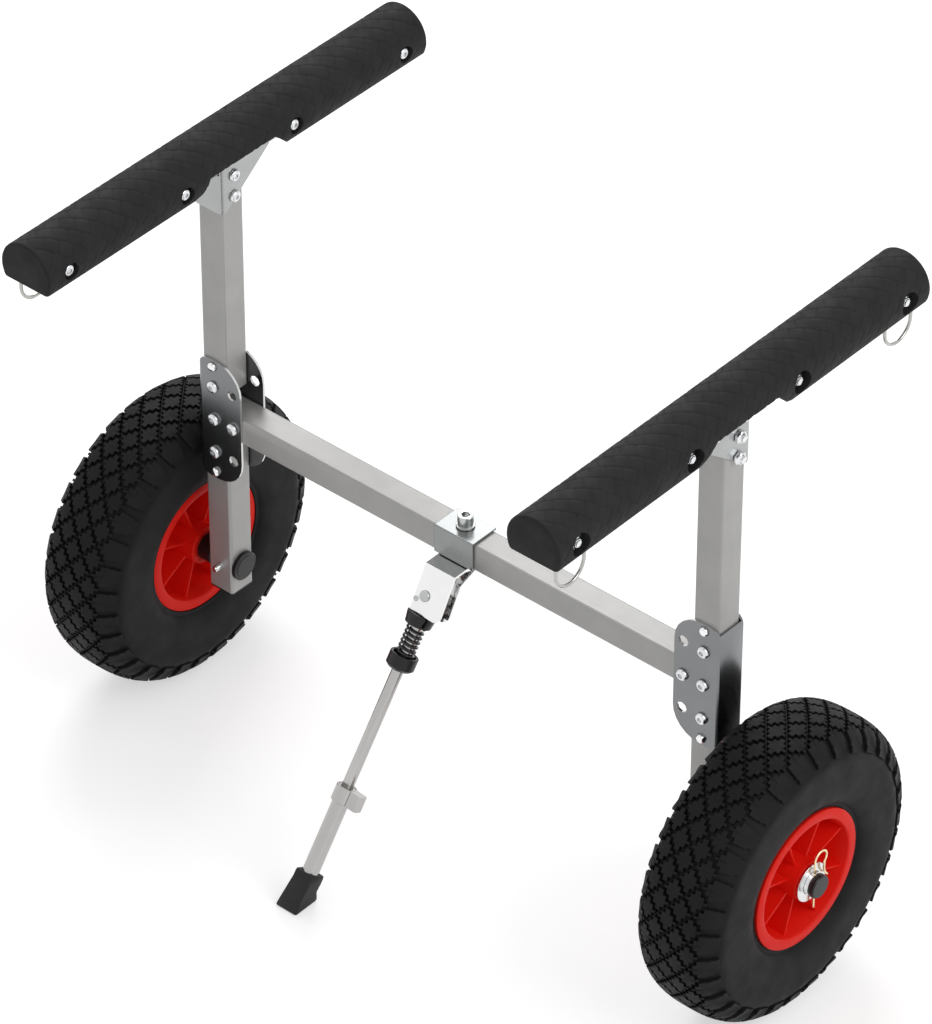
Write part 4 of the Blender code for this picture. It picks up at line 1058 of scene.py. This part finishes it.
def make_clamp_screw():
    """A socket screw with its washer, down through the clamp and the beam."""
    rings = in_mm((7.3, 0), (7.7, 0.2), (7.7, 1.6), (7.3, 1.8), (6.5, 1.8), (6.5, 10.6), (5.9, 11.3))
    rings += in_mm((4.2, 11.3), (3.2, 11.1, "hex"), (3.15, 6, "hex"))
    screw = merged(stack(rings, 36), stack(in_mm((3, -38), (3, 0.4))))
    at = Matrix.Translation((1 * MM, 0, BEAM_Z + 15.1 * MM))
    piece("stand_socket_screw", screw, SCREW, "frame", at, ["stand_clamp_screw"])


def make_pivot_pin():
    """The pin with a head on each face of the fork, and the stop rivet beside it."""
    half = 7.5 * MM
    fork = fork_matrix()
    head = stack(in_mm((3, 0), (4.7, 0), (4.7, 0.7), (4.2, 1.5), (3, 1.8)), 28)
    parts = [moved(head, fork @ standing((0, way * half, 0), (0, way, 0))) for way in (-1, 1)]
    shank = stack([(3 * MM, -half), (3 * MM, half)])
    parts.append(moved(shank, fork @ Matrix.Rotation(math.pi / 2, 4, "X")))
    pin = merged(*parts)
    piece("stand_rivet", pin, SCREW, "frame", None, ["stand_pivot_pin"])
    small = stack(in_mm((2.2, 0), (2.2, 0.5), (1.6, 1.1), (0.6, 1.3)))
    at = fork @ standing((-7 * MM, -half + 0.3 * MM, -5 * MM), (0, -1, 0))
    piece("stand_stop_rivet", small, SCREW, "frame", at)


def make_spring(leg):
    """A coil down the leg, towards the cup at its lower end."""
    wire_r, radius, turns, per_turn = 1.1 * MM, 7 * MM, 6.5, 28
    top, bottom, cup_floor = -26.9 * MM, -53.6 * MM, -54.7 * MM
    count = int(turns * per_turn)
    path = []
    for i in range(count + 1):
        angle = 2 * math.pi * i / per_turn
        height = top + (bottom - top) * i / count
        path.append((radius * math.cos(angle), radius * math.sin(angle), height))
    coil = tube(path, wire_r, 10)
    obj = piece("stand_coil", coil, BLACK_STEEL, "stand_leg", leg, ["stand_spring"])
    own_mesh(obj)


def make_leg_clamp(leg):
    """A ring round the top of the leg tube, with a lug that stands out of it."""
    ring = in_mm((7.2, -186), (8.5, -186), (8.9, -185.6), (8.9, -172.4), (8.5, -172), (7.2, -172))
    lug = in_mm((8, -5), (17, -5), (18.5, -3.5), (18.5, 3.5), (17, 5), (8, 5))
    lug = prism(lug, -185.8 * MM, -172.2 * MM, Matrix.Identity(4))
    clamp = merged(stack(ring, 40, closed=True), lug)
    body, node = "stand_extension", "stand_leg_clamp"
    piece("stand_height_clamp", clamp, SATIN, body, leg, [node])


make_stand()


# Studio
SEEN_BY = ("Is Camera Ray", "Is Glossy Ray", "Is Transmission Ray")
WORLD_LIGHT, WORLD_SEEN = 0.42, 1.0
FLOOR_HALF, FLOOR_Z = 14.0, -0.5 * MM
FLOOR_GLOW = 0.5
LAMPS_AIM = (0, 0, 0.25)


def seen_directly(nodes):
    """One for rays from the camera, a mirror or a clear thing, and nothing for plain lighting."""
    light = nodes.new("ShaderNodeLightPath")
    seen = light.outputs[SEEN_BY[0]]
    for kind in SEEN_BY[1:]:
        more = nodes.new("ShaderNodeMath")
        more.operation = "MAXIMUM"
        nodes.id_data.links.new(seen, more.inputs[0])
        nodes.id_data.links.new(light.outputs[kind], more.inputs[1])
        seen = more.outputs[0]
    return seen


def make_floor():
    n = Nodes("studio_floor")
    tone = n.ramp(n.noise(scale=0.7, detail=2), (0.84, 0.84, 0.84), (0.86, 0.86, 0.86))
    n.finish(tone, 0.9, specular=0.0)
    white = n.add("ShaderNodeEmission", Strength=FLOOR_GLOW)
    both = n.add("ShaderNodeAddShader")
    mix = n.add("ShaderNodeMixShader")
    n.link(n.shader.outputs[0], both.inputs[0])
    n.link(white.outputs[0], both.inputs[1])
    n.link(seen_directly(n.tree.nodes), mix.inputs[0])
    n.link(n.shader.outputs[0], mix.inputs[1])
    n.link(both.outputs[0], mix.inputs[2])
    n.link(mix.outputs[0], n.tree.nodes["Material Output"].inputs["Surface"])
    points = [(FLOOR_HALF * x, FLOOR_HALF * y, 0) for x, y in ((-1, -1), (1, -1), (1, 1), (-1, 1))]
    mesh = mesh_from("floor", points, [(0, 1, 2, 3)])
    mesh.materials.append(n.material)
    floor = bpy.data.objects.new("floor", mesh)
    floor.location.z = FLOOR_Z
    bpy.context.scene.collection.objects.link(floor)


def make_world():
    """A white world that is dimmer as a light than where it is seen."""
    world = bpy.data.worlds.new("studio")
    bpy.context.scene.world = world
    world.use_nodes = True
    nodes = world.node_tree.nodes
    links = world.node_tree.links
    lit = nodes["Background"]
    seen = nodes.new("ShaderNodeBackground")
    for background, strength in ((lit, WORLD_LIGHT), (seen, WORLD_SEEN)):
        background.inputs["Color"].default_value = (1, 1, 1, 1)
        background.inputs["Strength"].default_value = strength
    mix = nodes.new("ShaderNodeMixShader")
    links.new(seen_directly(nodes), mix.inputs[0])
    links.new(lit.outputs[0], mix.inputs[1])
    links.new(seen.outputs[0], mix.inputs[2])
    links.new(mix.outputs[0], nodes["World Output"].inputs["Surface"])


def make_lamps():
    for name, place, size, power in (
        ("key_light", (-1.8, 2.0, 2.9), 2.2, 50),
        ("fill_light", (3.0, 0.2, 2.6), 2.4, 40),
    ):
        data = bpy.data.lights.new(name, "AREA")
        data.shape = "SQUARE"
        data.size = size
        data.energy = power
        lamp = bpy.data.objects.new(name, data)
        lamp.location = place
        aim = Vector(LAMPS_AIM) - Vector(place)
        lamp.rotation_euler = aim.to_track_quat("-Z", "Y").to_euler()
        bpy.context.scene.collection.objects.link(lamp)


make_floor()
make_world()
make_lamps()
